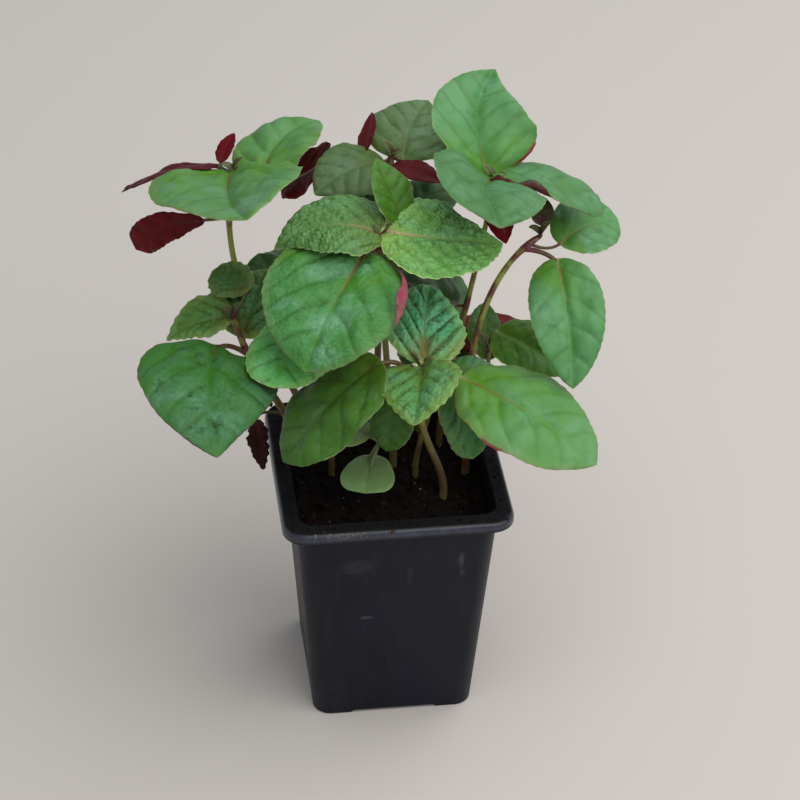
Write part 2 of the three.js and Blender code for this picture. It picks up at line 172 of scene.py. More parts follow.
def note(piece, name, *numbers):
    """Keeps three numbers for each vertex, for the piece's material to read."""
    kept = piece.data.attributes.new(name, "FLOAT_VECTOR", "POINT")
    kept.data.foreach_set("vector", np.stack(np.broadcast_arrays(*numbers), axis=-1).ravel())


def join(name, pieces):
    bpy.ops.object.select_all(action="DESELECT")
    for piece in pieces:
        piece.select_set(True)
    bpy.context.view_layer.objects.active = pieces[0]
    bpy.ops.object.join()
    pieces[0].name = pieces[0].data.name = name
    return pieces[0]


def cut(piece, cutter):
    modify(piece, "BOOLEAN", operation="DIFFERENCE", object=cutter, solver="EXACT")
    bpy.data.objects.remove(cutter)


def finish_piece(piece, node, slot, *materials, angle=40):
    """Smooths a piece, dresses it and lets it stand for a node of the frame."""
    bpy.ops.object.select_all(action="DESELECT")
    piece.select_set(True)
    bpy.context.view_layer.objects.active = piece
    bpy.ops.object.shade_smooth_by_angle(angle=math.radians(angle))
    for material in materials:
        piece.data.materials.append(material)
    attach(piece, "root")
    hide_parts(node)


# Shader tools.

class Socket:
    """One output of a shader node. Arithmetic on it adds Math nodes."""

    def __init__(self, finish, output):
        self.finish = finish
        self.output = output

    def math(self, operation, *values):
        return self.finish.node("Math", {"operation": operation}, dict(enumerate(values)))

    def __add__(self, other):
        return self.math("ADD", self, other)

    def __sub__(self, other):
        return self.math("SUBTRACT", self, other)

    def __rsub__(self, other):
        return self.math("SUBTRACT", other, self)

    def __mul__(self, other):
        return self.math("MULTIPLY", self, other)

    def __abs__(self):
        return self.math("ABSOLUTE", self)

    __radd__ = __add__
    __rmul__ = __mul__

    def larger(self, other):
        return self.math("MAXIMUM", self, other)

    def fraction(self):
        return self.math("FRACT", self)

    def step(self, low, high, start=0, end=1):
        """A soft step from start to end as the value goes from low to high."""
        return self.finish.node(
            "MapRange", {"interpolation_type": "SMOOTHSTEP"},
            {0: self, 1: low, 2: high, 3: start, 4: end})

    def parts(self):
        return [self.finish.node("SeparateXYZ", {}, {0: self}, output=k) for k in range(3)]


class Finish:
    """A material's node tree, built up from its Principled shader."""

    def __init__(self, name):
        self.material = bpy.data.materials.new(name)
        self.material.use_nodes = True
        self.tree = self.material.node_tree
        self.surface = self.tree.nodes["Principled BSDF"]

    def node(self, kind, settings, inputs, output=0):
        made = self.tree.nodes.new("ShaderNode" + kind)
        for name, value in settings.items():
            setattr(made, name, value)
        self.feed(made, inputs)
        return Socket(self, made.outputs[output])

    def feed(self, node, inputs):
        for name, value in inputs.items():
            if isinstance(value, Socket):
                self.tree.links.new(value.output, node.inputs[name])
            else:
                node.inputs[name].default_value = value

    def where(self):
        return self.node("TexCoord", {}, {}, output="Object")

    def stretched(self, *scale):
        """Object coordinates times a scale along each axis."""
        return self.node("Mapping", {}, {0: self.where(), "Scale": scale})

    def kept(self, name):
        """The three numbers that note() kept under a name."""
        return self.node("Attribute", {"attribute_name": name}, {}, output="Vector").parts()

    def grain(self, scale, detail=3, roughness=0.5, place=None):
        """Cloudy noise, with scale as features to a metre."""
        inputs = {"Scale": scale, "Detail": detail, "Roughness": roughness,
                  "Vector": place or self.where()}
        return self.node("TexNoise", {}, inputs)

    def cells(self, scale, place=None, feature="F1"):
        """Distance from the middle of the nearest cell."""
        inputs = {"Scale": scale, "Vector": place or self.where()}
        return self.node("TexVoronoi", {"feature": feature}, inputs, output="Distance")

    def warped(self, scale, far):
        """Object coordinates pushed about by noise, so that cells in them are uneven."""
        push = self.node("TexNoise", {}, {"Scale": scale, "Detail": 2}, output="Color")
        push = self.node("VectorMath", {"operation": "SCALE"}, {0: push, "Scale": far})
        return self.node("VectorMath", {"operation": "ADD"}, {0: self.where(), 1: push})

    def mix(self, share, first, second):
        inputs = {0: share, 6: first, 7: second}
        return self.node("Mix", {"data_type": "RGBA"}, inputs, output=2)

    def bump(self, height, distance, strength):
        inputs = {"Height": height, "Distance": distance, "Strength": strength}
        return self.node("Bump", {}, inputs)

    def set(self, **inputs):
        """Feeds the Principled shader, with an underscore for each space in a socket's name."""
        self.feed(self.surface, {name.replace("_", " "): value for name, value in inputs.items()})
        return self.material


# Materials of the pot and the soil. Distances in a shader are in metres.

def pot_plastic():
    """Thin charcoal-black plastic with flow streaks, scuffs and a painted reflection streak, a painted
    bluish highlight on the lip, dust near the rim, and near-black on the flat top of the rim.
    """
    finish = Finish("pot plastic")
    x, y, z = finish.where().parts()
    streaks = finish.grain(1, 4, 0.6, finish.stretched(420, 420, 9))
    clouds = finish.grain(38, 4, 0.6)
    smudges = finish.grain(110, 4, 0.65)
    specks = finish.cells(260).step(0.05, 0.16, 1, 0)
    dusty = finish.grain(150, 5, 0.7).step(0.56, 0.74)
    edge = POT_RIM / 2 * MM
    top = POT_HEIGHT * MM
    outside = abs(x).larger(abs(y)).step(edge - 0.0045, edge - 0.0025)
    lip = outside * z.step(top - 0.0045, top - 0.0025) * z.step(top - 0.0012, top - 0.0001, 1, 0)
    flange = z.step(top - 0.0008, top - 0.0001) * smudges.step(0.3, 0.6, 0.6, 1)
    near_rim = z.step(top - 0.012, top - 0.001)
    dust = dusty * (0.05 + 0.2 * near_rim) + specks * clouds.step(0.5, 0.8) * 0.15
    colour = finish.mix(clouds.step(0.3, 0.7), srgb(11, 14, 25), srgb(17, 21, 35))
    colour = finish.mix(streaks.step(0.5, 0.8) * 0.6, colour, srgb(28, 32, 44))
    # Painted highlight: the rolled lip is painted a pale blue-grey, in patches.
    colour = finish.mix(lip * smudges.step(0.35, 0.65, 0.35, 1), colour, srgb(50, 55, 70))
    colour = finish.mix(dust, colour, srgb(104, 98, 90))
    # The flat top of the rim is painted near-black, in patches.
    colour = finish.mix(flange, colour, srgb(9, 8, 7))
    ragged = finish.grain(1100, 2).step(0.35, 0.65, 0.4, 1)
    in_front = y.step(-0.03, -0.02, 1, 0)
    # Pale marks: scuffs, and a painted reflection streak.
    for across, up, half_wide, half_high, strength in SCUFFS_AND_REFLECTION:
        beside = (x - across * MM) * (1 / (half_wide * MM))
        above = (z - up * MM) * (1 / (half_high * MM))
        near = (beside * beside + above * above).step(0, 1, strength, 0) * in_front
        colour = finish.mix(near * ragged, colour, srgb(84, 88, 98))
    relief = streaks * 0.8 + clouds * 0.5
    return finish.set(
        Base_Color=colour,
        Roughness=clouds.step(0.2, 0.8, 0.34, 0.46) + streaks * 0.1 + flange * 0.4,
        Specular_IOR_Level=0.2,
        Coat_Weight=lip * 0.8,
        Coat_Roughness=0.22,
        Normal=finish.bump(relief, 0.0003, 0.6),
    )


def earth(name, dark, light):
    """Crumbly soil or a lump of it."""
    finish = Finish(name)
    clouds = finish.grain(320, 6, 0.65)
    patches = finish.grain(70, 3)
    fibres = finish.cells(900).step(0.1, 0.5)
    colour = finish.mix(clouds.step(0.35, 0.7), dark, light)
    colour = finish.mix(patches.step(0.35, 0.7) * 0.6, colour, dark)
    relief = clouds + fibres * 0.5
    return finish.set(
        Base_Color=colour,
        Roughness=clouds.step(0.3, 0.7, 0.75, 0.97),
        Specular_IOR_Level=0.15,
        Normal=finish.bump(relief, 0.0007, 0.9),
    )


# Materials of the plants.

@dataclass
class Look:
    """How one kind of leaf is coloured and quilted. Its colours are given as screen values."""
    main: tuple
    patch: tuple
    stalk_end: tuple
    rib: tuple
    edge: tuple
    back: tuple
    pale_edge: tuple = (140, 158, 104)
    blush: tuple = (112, 42, 34)  # of a red stretch of margin
    stalk_reach: float = 0.35  # share of the blade that the colour of the stalk end reaches
    # sheen sets how pale the painted bluish sheen is.
    sheen: float = 0.55  # how pale the bluish patches are
    puff: float = 1.0  # height of the quilts between side veins
    dome: float = 2.6  # larger for flatter quilts with sharper grooves between them
    net: float = 0.16  # depth of the fine net
    cell: float = 3.2  # width of its meshes
    shade: float = 0.25  # how dark the net's grooves are
    vein_shade: float = 0.35  # and the grooves of the side veins
    pairs: float = 4.3  # side veins on each half
    crinkle: float = 330  # small puckers to a metre
    pucker: float = 1.0  # and how deep they are
    # spots paints the shade of scattered hollows.
    spots: float = 0  # how dark the scattered hollows are
    lean: float = 0.6  # how far a side vein runs forward for each mm outwards, near the midrib
    band: float = 0  # how strongly the zone inside the margin takes the margin's paler colour
    rim: float = 0.45  # width of the coloured margin
    rib_width: float = 1  # how wide the coloured midrib is, to the usual one
    tooth: float = 0.32
    tooth_pitch: float = 3.2
    wave: float = 0.8
    gloss: float = 0.46
    shine: float = 0.32  # how strongly the face reflects
    grain: float = 0.62  # mm between vertices

    def __post_init__(self):
        for part in ("main", "patch", "stalk_end", "rib", "edge", "back", "pale_edge", "blush"):
            setattr(self, part, srgb(*getattr(self, part)))


LOOKS = {
    "broad": Look(
        main=(54, 112, 36), patch=(68, 128, 68), stalk_end=(66, 120, 16), rib=(124, 72, 58),
        edge=(104, 80, 50), back=(150, 54, 84), spots=0.25, net=0.4, cell=2.3, shade=0.22, sheen=0.75,
        band=0.2, grain=0.56, tooth=0.5, rib_width=1.7, vein_shade=0.45),
    "plain": Look(
        main=(64, 116, 52), patch=(80, 132, 82), stalk_end=(72, 122, 30), rib=(132, 96, 76),
        edge=(96, 78, 48), back=(78, 32, 30), sheen=0.4, puff=0.8, net=0.05, cell=4.5, shade=0.05,
        vein_shade=0.25, pucker=0.5, spots=0.4),
    "puckered": Look(
        main=(50, 110, 36), patch=(68, 122, 76), stalk_end=(50, 114, 0), rib=(96, 52, 40),
        edge=(84, 44, 34), back=(140, 62, 82), pale_edge=(100, 72, 48), rim=0.85, sheen=0.6, net=0.3,
        cell=3.6, crinkle=260, pucker=1.6, vein_shade=0.25, stalk_reach=0.8, spots=0.9),
    "bright": Look(
        main=(72, 130, 42), patch=(88, 142, 82), stalk_end=(82, 134, 18), rib=(126, 88, 58),
        edge=(134, 84, 58), back=(140, 72, 84), stalk_reach=0.5, vein_shade=0.2, net=0.08, cell=4.5,
        shade=0.08, band=0.2),
    "young": Look(
        main=(82, 128, 54), patch=(100, 150, 84), stalk_end=(112, 144, 68), rib=(164, 126, 104),
        edge=(150, 172, 104), back=(126, 84, 82), pale_edge=(164, 186, 118), sheen=0.5, puff=0.9,
        dome=2.2, net=1.05, cell=2.2, shade=0.4, crinkle=560, pucker=1.6, pairs=6, tooth=0.8,
        tooth_pitch=3.1, wave=0.6, gloss=0.42, grain=0.5, vein_shade=0.3, rib_width=1.6),
    "quilted": Look(
        main=(48, 106, 54), patch=(74, 136, 94), stalk_end=(92, 86, 44), rib=(110, 76, 50),
        edge=(110, 154, 80), back=(120, 76, 80), pale_edge=(114, 152, 80), sheen=0.75, puff=2.8,
        dome=1.6, net=0.8, cell=2.6, shade=0.45, crinkle=420, pucker=1.8, pairs=4.4, lean=1.15,
        band=0.4, tooth=0.9, wave=1.2, gloss=0.34, stalk_reach=0.42, grain=0.46, vein_shade=0.8),
    "limed": Look(
        main=(76, 120, 34), patch=(80, 138, 76), stalk_end=(92, 112, 38), rib=(104, 84, 48),
        edge=(134, 158, 84), back=(120, 76, 80), pale_edge=(138, 162, 84), puff=1.5, dome=2.0, net=0.6,
        cell=2.5, shade=0.5, crinkle=420, pucker=1.6, pairs=4.5, lean=0.9, band=0.4, tooth=0.9,
        wave=1.0, grain=0.52),
    "olive": Look(
        main=(56, 100, 18), patch=(68, 114, 34), stalk_end=(68, 106, 12), rib=(104, 92, 46),
        edge=(96, 122, 50), back=(124, 66, 70), puff=0.7, sheen=0.2),
    "shaded": Look(
        main=(44, 88, 24), patch=(58, 106, 46), stalk_end=(58, 96, 16), rib=(84, 88, 40),
        edge=(76, 90, 40), back=(104, 54, 60), sheen=0.3),
    "dusky": Look(
        main=(72, 104, 50), patch=(86, 116, 70), stalk_end=(76, 106, 36), rib=(102, 104, 60),
        edge=(96, 112, 66), back=(104, 64, 60), sheen=0.3),
    "seed": Look(
        main=(84, 112, 62), patch=(98, 126, 80), stalk_end=(86, 112, 60), rib=(52, 68, 34),
        edge=(104, 124, 82), back=(96, 100, 70), sheen=0.2, vein_shade=0, puff=0.05, net=0.03, cell=2,
        shade=0.1, pucker=0.2, pairs=3, tooth=0, wave=0.2, gloss=0.5),
    "maroon": Look(
        main=(92, 8, 12), patch=(102, 14, 20), stalk_end=(90, 20, 24), rib=(92, 40, 40),
        edge=(50, 14, 18), back=(92, 8, 12), pale_edge=(96, 36, 40), sheen=0, puff=0.45, shade=0.15,
        pucker=0.5, shine=0.12),
    "bud": Look(
        main=(84, 88, 50), patch=(100, 118, 66), stalk_end=(92, 36, 58), rib=(96, 52, 50),
        edge=(96, 60, 54), back=(108, 46, 66), pale_edge=(122, 132, 84), sheen=0.1, puff=0.4, net=0.1,
        cell=1, tooth=0.2, tooth_pitch=1.5, wave=0.3, pucker=0.6, stalk_reach=0.6),
    "withered": Look(
        main=(40, 18, 12), patch=(58, 24, 18), stalk_end=(66, 34, 22), rib=(70, 40, 28),
        edge=(28, 14, 10), back=(48, 20, 16), pale_edge=(70, 46, 34), sheen=0, puff=1.6, pucker=2,
        wave=2.4, tooth=0.8, gloss=0.7, shine=0.12),
}


def times(colour, share):
    return tuple(min(1, share * part) for part in colour[:3]) + (1,)


def leaf_face(name, look, colours, under):
    """One face of a leaf: rib, side veins, net, patches and margin, with painted shade in grooves and
    hollows, painted highlights and a painted bluish sheen.
    """
    main, patch, stalk_end = colours
    # The colour of the painted shade.
    deep = times(main, 0.3)
    finish = Finish(name)
    along, redness, inward = finish.kept("blade")
    count, spacing, net = finish.kept("veins")
    blush, tone, height = finish.kept("tint")
    from_rib = finish.kept("rib")[0]
    from_vein = abs((count + 0.5).fraction() - 0.5) * spacing
    clouds = finish.grain(75, 3, 0.55)
    drift = finish.grain(48, 2, 0.5, finish.stretched(1, 1.3, 0.8))
    mottle = finish.grain(700, 4, 0.6)
    puckers = finish.cells(look.crinkle, finish.warped(900, 0.0005), feature="SMOOTH_F1")
    patchy = clouds.step(0.3, 0.6, 0.3, 1)

    colour = finish.mix(clouds.step(0.42, 0.62), main, patch)
    colour = finish.mix(mottle.step(0.3, 0.7, 0, 0.35), colour, patch)
    near_stalk = (along + (clouds - 0.5) * 0.7).step(0.0, look.stalk_reach, 0.92, 0)
    colour = finish.mix(near_stalk, colour, stalk_end)
    # A painted bluish sheen with painted glints, away from the margin and the stalk end.
    shine = drift.step(0.5, 0.62) * inward.step(2, 6) * near_stalk.step(0, 0.6, 1, 0)
    glint = mottle.step(0.4, 0.7, 0.45, 1) * height.step(0.1, 0.6, 0.5, 1)
    colour = finish.mix(shine * glint * look.sheen, colour, srgb(114, 162, 132))
    # Painted shade: darker in the net's grooves and between puckers, beside the side veins and in the
    # hollows between quilts.
    groove = net.step(0.0, 0.32, look.shade, 0) + puckers.step(0.45, 0.75, 0, look.shade)
    beside_vein = from_vein.step(0.1, 1.3, look.vein_shade, 0) * from_rib.step(1, 5) * patchy
    hollow = height.step(0.05, 0.5, look.vein_shade, 0)
    colour = finish.mix(groove * patchy + beside_vein + hollow, colour, deep)
    # Painted shade of scattered hollows, as dark spots.
    spotted = finish.grain(250, 2, 0.5).step(0.58, 0.68) * inward.step(2, 5) * clouds.step(0.4, 0.6)
    colour = finish.mix(spotted * look.spots, colour, deep)
    # A painted highlight on the tops of the quilts.
    colour = finish.mix(height.step(0.55, 0.95, 0, 0.4), colour, patch)
    vein = from_vein.step(0.06, 0.2, 0.35, 0) * inward.step(0.5, 3)
    colour = finish.mix(vein, colour, look.rib if under else stalk_end)
    rib = from_rib.step(0.45, 1.15, 0.8, 0)
    colour = finish.mix(rib * 0.75, colour, stalk_end)
    colour = finish.mix(rib * redness * 0.9, colour, look.rib)
    pale = finish.mix(drift.step(0.44, 0.56), look.edge, look.pale_edge)
    colour = finish.mix(inward.step(0.5, 5.5, look.band, 0) * clouds.step(0.3, 0.6, 0.5, 1),
                        colour, look.pale_edge)
    rim = inward.step(0.1, look.rim, 0.75, 0) * clouds.step(0.3, 0.6, 0.35, 1)
    colour = finish.mix(rim, colour, pale)
    colour = finish.mix(blush, colour, look.blush)
    # Painted light and shade: the whole colour scaled by the leaf's lightness.
    colour = finish.node("VectorMath", {"operation": "SCALE"}, {0: colour, "Scale": tone})
    if under:
        # Painted shade in creases.
        crease_shade = finish.grain(330, 2, 0.5)
        colour = finish.mix(crease_shade.step(0.52, 0.68, 0, 0.45), colour, deep)
        # A painted highlight near the margin and the fold.
        colour = finish.mix(inward.step(0.6, 1.8, 0.45, 0), colour, times(look.back, 2))
    fine = 0.5 * min(1, 2 * look.net)
    relief = mottle * 0.35 + net.step(0, 0.5) * fine - puckers * patchy * look.pucker
    gloss = look.gloss + (0.12 if under else 0)
    return finish.set(
        Base_Color=colour,
        Roughness=mottle.step(0.3, 0.7, gloss - 0.06, gloss + 0.1),
        Specular_IOR_Level=look.shine * (0.6 if under else 1),
        Normal=finish.bump(relief, 0.0003, 0.9),
    )


def leaf_materials(name, look):
    tops = (look.main, look.patch, look.stalk_end)
    backs = (look.back, times(look.back, 0.8), look.back)
    return (leaf_face(name + " leaf top", look, tops, under=False),
            leaf_face(name + " leaf underside", look, backs, under=True))


def stalk_material():
    """Stems, tan to olive below, and leaf stalks that turn pink and brown towards the leaf, with a
    painted magenta highlight where some stalks leave the stem.
    """
    finish = Finish("stems and leaf stalks")
    along, leafy, warmth = finish.kept("stalk")
    streaks = finish.grain(1, 3, 0.6, finish.stretched(900, 900, 160))
    blotch = finish.grain(140, 3)
    stem = finish.mix(along.step(0.2, 0.9), srgb(110, 98, 54), srgb(142, 150, 60))
    stem = finish.mix(blotch.step(0.38, 0.58) * warmth.step(0.35, 0.75), stem, srgb(96, 56, 38))
    stem = finish.mix(warmth.step(1, 1.7), stem, srgb(96, 36, 60))
    stalk = finish.mix(along.step(0.1, 0.9), srgb(86, 80, 38), srgb(108, 66, 48))
    stalk = finish.mix(blotch.step(0.4, 0.65) * warmth, stalk, srgb(96, 44, 40))
    stalk = finish.mix(warmth.step(1, 1.7), stalk, srgb(104, 32, 66))
    # A painted magenta highlight, in streaks, where warmth is highest, at the base of stalks that leave
    # the stem.
    stalk = finish.mix(warmth.step(1.8, 2.4) * streaks.step(0.35, 0.65, 0.3, 1), stalk,
                       srgb(138, 44, 96))
    colour = finish.mix(leafy, stem, stalk)
    colour = finish.mix(warmth.step(-0.9, -0.1, 1, 0), colour, srgb(112, 124, 78))
    colour = finish.mix(streaks.step(0.5, 0.8) * 0.3, colour, srgb(150, 140, 98))
    return finish.set(
        Base_Color=colour,
        Roughness=streaks.step(0.3, 0.7, 0.42, 0.58),
        Normal=finish.bump(streaks + blotch * 0.5, 0.0002, 0.5),
    )


# The pot.

def make_pot():
    """A thin shell: tapered walls, a flange, and a rolled lip that turns down."""
    under_flange = POT_HEIGHT - POT_WALL
    pot = start_piece("nursery_pot", bpy.ops.mesh.primitive_cube_add, size=1,
                      location=(0, 0, under_flange * MM / 2),
                      scale=(POT_FOOT * MM, POT_FOOT * MM, under_flange * MM))

    def at_top(part):
        return all(v.co.z > (under_flange - 0.01) * MM for v in part.verts)

    def resize(width, other):
        bpy.ops.transform.resize(value=(width / other, width / other, 1))

    with editing(pot):
        pick(pot, "faces", at_top)
        resize(POT_NECK, POT_FOOT)
        bpy.ops.mesh.select_mode(type="EDGE")
        pick(pot, "edges", lambda e: abs(e.verts[0].co.z - e.verts[1].co.z) > 10 * MM)
        bpy.ops.mesh.bevel(offset=CORNER * MM, segments=9, affect="EDGES")
        bpy.ops.mesh.select_mode(type="FACE")
        pick(pot, "faces", at_top)
        bpy.ops.mesh.delete(type="ONLY_FACE")
        bpy.ops.mesh.select_mode(type="EDGE")
        pick(pot, "edges", lambda e: e.is_boundary)
        bpy.ops.mesh.extrude_region_move()
        resize(POT_RIM - 2 * POT_WALL, POT_NECK)
        bpy.ops.mesh.extrude_region_move(
            TRANSFORM_OT_translate={"value": (0, 0, (POT_WALL - LIP_DROP) * MM)})
        rim = POT_RIM / 2 - POT_WALL
        pick(pot, "edges", lambda e: at_top(e) and not e.is_boundary and
             abs(max(abs(c) for v in e.verts for c in v.co.xy) - rim * MM) < 4 * MM
             and len(e.link_faces) == 2 and abs(e.calc_face_angle(0)) > 1)
        bpy.ops.mesh.bevel(offset=BEAD * MM, segments=4, affect="EDGES")
    modify(pot, "SOLIDIFY", thickness=POT_WALL * MM, offset=-1, use_even_offset=True)
    modify(pot, "BEVEL", width=EDGE_ROUND * MM, segments=3, limit_method="ANGLE",
           angle_limit=math.radians(40))
    for turn in range(4):
        angle = turn * math.pi / 2
        out = (POT_FOOT / 2 * math.sin(angle) * MM, POT_FOOT / 2 * math.cos(angle) * MM, 0)
        width, depth, height = (size * MM for size in ARCH)
        arch = start_piece("arch", bpy.ops.mesh.primitive_cube_add, size=1, location=out,
                           rotation=(0, 0, -angle), scale=(width, depth, height))
        modify(arch, "BEVEL", width=0.9 * MM, segments=4)
        cut(pot, arch)
    for x in (-DRAIN_AT, DRAIN_AT):
        for y in (-DRAIN_AT, DRAIN_AT):
            drill = start_piece("drill", bpy.ops.mesh.primitive_cylinder_add, vertices=28,
                                radius=DRAIN_RADIUS * MM, depth=12 * MM,
                                location=(x * MM, y * MM, 0))
            cut(pot, drill)
    finish_piece(pot, "pot", "pot", pot_plastic(), angle=35)


# The soil.

def soil_height(x, y):
    """Height of the soil at a point, in mm: the frame's bumps with crumbs on them."""
    bumps = math.sin(x / 5.2 + 1.3) * math.cos(y / 6.1) + 0.6 * math.sin(x / 2.9 - y / 3.7)
    lumps = noise.fractal(Vector((x, y, 3)) / 4.2, 0.9, 2.1, 4)
    grit = noise.noise(Vector((x, y, 9)) / 0.9)
    return SOIL_LEVEL + 0.9 * bumps + 1.0 * lumps + 0.28 * grit


def make_soil():
    """A bumpy square of soil with rounded corners, drawn down to the floor of the pot."""
    soil = start_piece("potting_soil", bpy.ops.mesh.primitive_grid_add, size=2,
                       x_subdivisions=SOIL_CELLS, y_subdivisions=SOIL_CELLS)
    flat = points_of(soil)[:, :2]
    reach = np.maximum(np.abs(flat).max(axis=1, keepdims=True), 1e-9)
    edge = flat / reach
    inner = np.clip(edge, SOIL_CORNER - 1, 1 - SOIL_CORNER)
    out = edge - inner
    rounded = inner + out * SOIL_CORNER / np.linalg.norm(out, axis=1, keepdims=True)
    flat = rounded * reach * SOIL_WIDTH / 2
    heights = [soil_height(x, y) for x, y in flat]
    put_points(soil, np.column_stack([flat, heights]) * MM)
    with editing(soil):
        bpy.ops.mesh.select_all(action="SELECT")
        bpy.ops.mesh.extrude_region_move(
            TRANSFORM_OT_translate={"value": (0, 0, -SOIL_DEPTH * MM)})
        foot = (POT_FOOT - 2 * POT_WALL - SOIL_GAP) / SOIL_WIDTH
        bpy.ops.transform.resize(value=(foot, foot, 0))
        bpy.ops.mesh.select_all(action="SELECT")
        bpy.ops.mesh.normals_make_consistent(inside=False)
    peat = earth("damp peat", srgb(8, 6, 4), srgb(30, 19, 11))
    finish_piece(soil, "soil", "soil", peat, angle=80)


def scatter(name, lump, places):
    """One mesh of many small copies: each place is a point, a radius and a seed, in mm."""
    shape = points_of(lump)
    corners = [tuple(face.vertices) for face in lump.data.polygons]
    points, faces = [], []
    for at, radius, seed in places:
        draw = random.Random(seed)
        turn = Matrix.Rotation(draw.uniform(0, 6.28), 3, Vector((
            draw.uniform(-1, 1), draw.uniform(-1, 1), draw.uniform(-1, 1) + 0.01)))
        stretch = np.array([draw.uniform(0.7, 1.5), draw.uniform(0.7, 1.2), draw.uniform(0.5, 1)])
        first = len(points)
        rough = 1 + 0.35 * np.array([draw.uniform(-1, 1) for _ in shape])[:, None]
        copy = (shape * rough * stretch * radius) @ np.array(turn).T + np.array(at)
        points.extend(copy * MM)
        faces.extend(tuple(first + corner for corner in face) for face in corners)
    mesh = bpy.data.meshes.new(name)
    mesh.from_pydata([tuple(p) for p in points], [], faces)
    made = bpy.data.objects.new(name, mesh)
    bpy.context.collection.objects.link(made)
    return made


def make_crumbs():
    """Loose lumps of peat, bits of bark, pale flecks, and what spilled on the rim."""
    draw = random.Random(5)
    roll = BEAD + POT_WALL
    half = SOIL_WIDTH / 2 - CRUMB_MARGIN
    lump = start_piece("lump", bpy.ops.mesh.primitive_ico_sphere_add, subdivisions=2, radius=1)
    grain = start_piece("grain", bpy.ops.mesh.primitive_ico_sphere_add, subdivisions=1, radius=1)

    def on_soil(count, low, high):
        places = []
        for k in range(count):
            x = draw.uniform(-half, half)
            y = draw.uniform(-half, half)
            size = low + (high - low) * draw.random() ** 2.2
            places.append(((x, y, soil_height(x, y) + 0.2 * size), size, k))
        return places

    def on_rim(count, low, high, inner, outer, size):
        """Places on the flat of the rim and over its rolled front edge."""
        places = []
        for k in range(count):
            y = -draw.uniform(inner, outer)
            past = max(0, -y - (POT_RIM / 2 - roll))
            top = POT_HEIGHT - roll + math.sqrt(max(0, roll ** 2 - past ** 2))
            places.append(((draw.uniform(low, high), y, top - 0.05),
                           size * (0.25 + 0.75 * draw.random() ** 2), 400 + k))
        return places

    def round_rim(count, size):
        places = []
        for k, (at, radius, seed) in enumerate(on_rim(count, -42, 42, 40.3, 43, size)):
            x, y, z = at
            turned = ((x, y), (-y, x), (-x, -y), (y, -x))[k % 4]
            places.append(((*turned, z), radius, seed))
        return places

    dark = srgb(11, 8, 5), srgb(36, 23, 14)
    pale = srgb(104, 94, 84), srgb(140, 130, 118)
    bright = srgb(176, 166, 146), srgb(206, 198, 180)
    for name, shape, node, material, places in (
            ("peat_crumbs", lump, "soil", earth("peat lumps", *dark), on_soil(520, 0.35, 1.7)),
            ("bark_bits", grain, "soil", earth("bark bits", srgb(40, 22, 12), srgb(70, 41, 22)),
             on_soil(130, 0.3, 1.0)),
            ("pale_flecks", grain, "soil", earth("pale flecks", *pale), on_soil(26, 0.2, 0.55)),
            ("rim_peat", grain, "pot", earth("spilled peat", *dark), round_rim(220, 0.8)),
            ("rim_bark", grain, "pot", earth("spilled bark", srgb(70, 44, 32), srgb(100, 70, 52)),
             on_rim(3, -6, -3, 44.3, 44.9, 1.1)),
            ("rim_grit", grain, "pot", earth("spilled grit", *pale),
             on_rim(130, -29, -13, 43.9, 44.97, 0.3) + on_rim(50, -34, 4, 44, 44.95, 0.24)
             + on_rim(12, -42, 42, 41, 44.8, 0.26) + on_rim(1, -33.4, -33, 44.3, 44.4, 0.9)),
            ("caught_grit", grain, "front", earth("grit on a leaf", *bright),
             [((7.4, -19.8, 160.9), 0.85, 2), ((-41.5, -37.6, 134.9), 0.35, 3)])):
        finish_piece(scatter(name, shape, places), node, "soil", material, angle=60)
    for shape in (lump, grain):
        bpy.data.objects.remove(shape)


# The plants.

@dataclass
class Leaf:
    """A leaf by its base point, heading and size, as the frame has it."""
    name: str
    look: str
    at: tuple
    turn: float  # heading about Z, from +X
    rise: float  # heading above level
    length: float
    width: float
    droop: float  # how much the heading falls from base to tip
    swerve: float = 0  # and how much it turns
    roll: float = 0  # about the heading
    fold: float = 0.2  # how steeply the two halves rise from the midrib
    taper: float = 0.8  # larger for a sharper tip
    start: float = 1  # how far up the stem its stalk leaves
    backset: float = BACKSET
    curl: tuple = ()  # side, start, end and width of a margin that is rolled up over the blade
    blush: tuple = ()  # side, start, end and width of a red stretch of margin
    # How light it is: partly its own tone, partly painted light and shade, raised on leaves that others
    # shadow and lowered on leaves that lie in shade.
    tone: float = 1  # how light it is
    red: float = 0.6  # share of the blade over which the midrib is red
    rib_shift: float = 0  # how far to the right of the middle the midrib starts
    arch: float = 0.5  # how far its stalk runs on in line with the blade
    hidden: bool = False  # behind others in the photograph, so made more coarsely


@dataclass
class Plant:
    foot: tuple
    bend: tuple
    top: tuple
    thick: tuple
    leaves: list


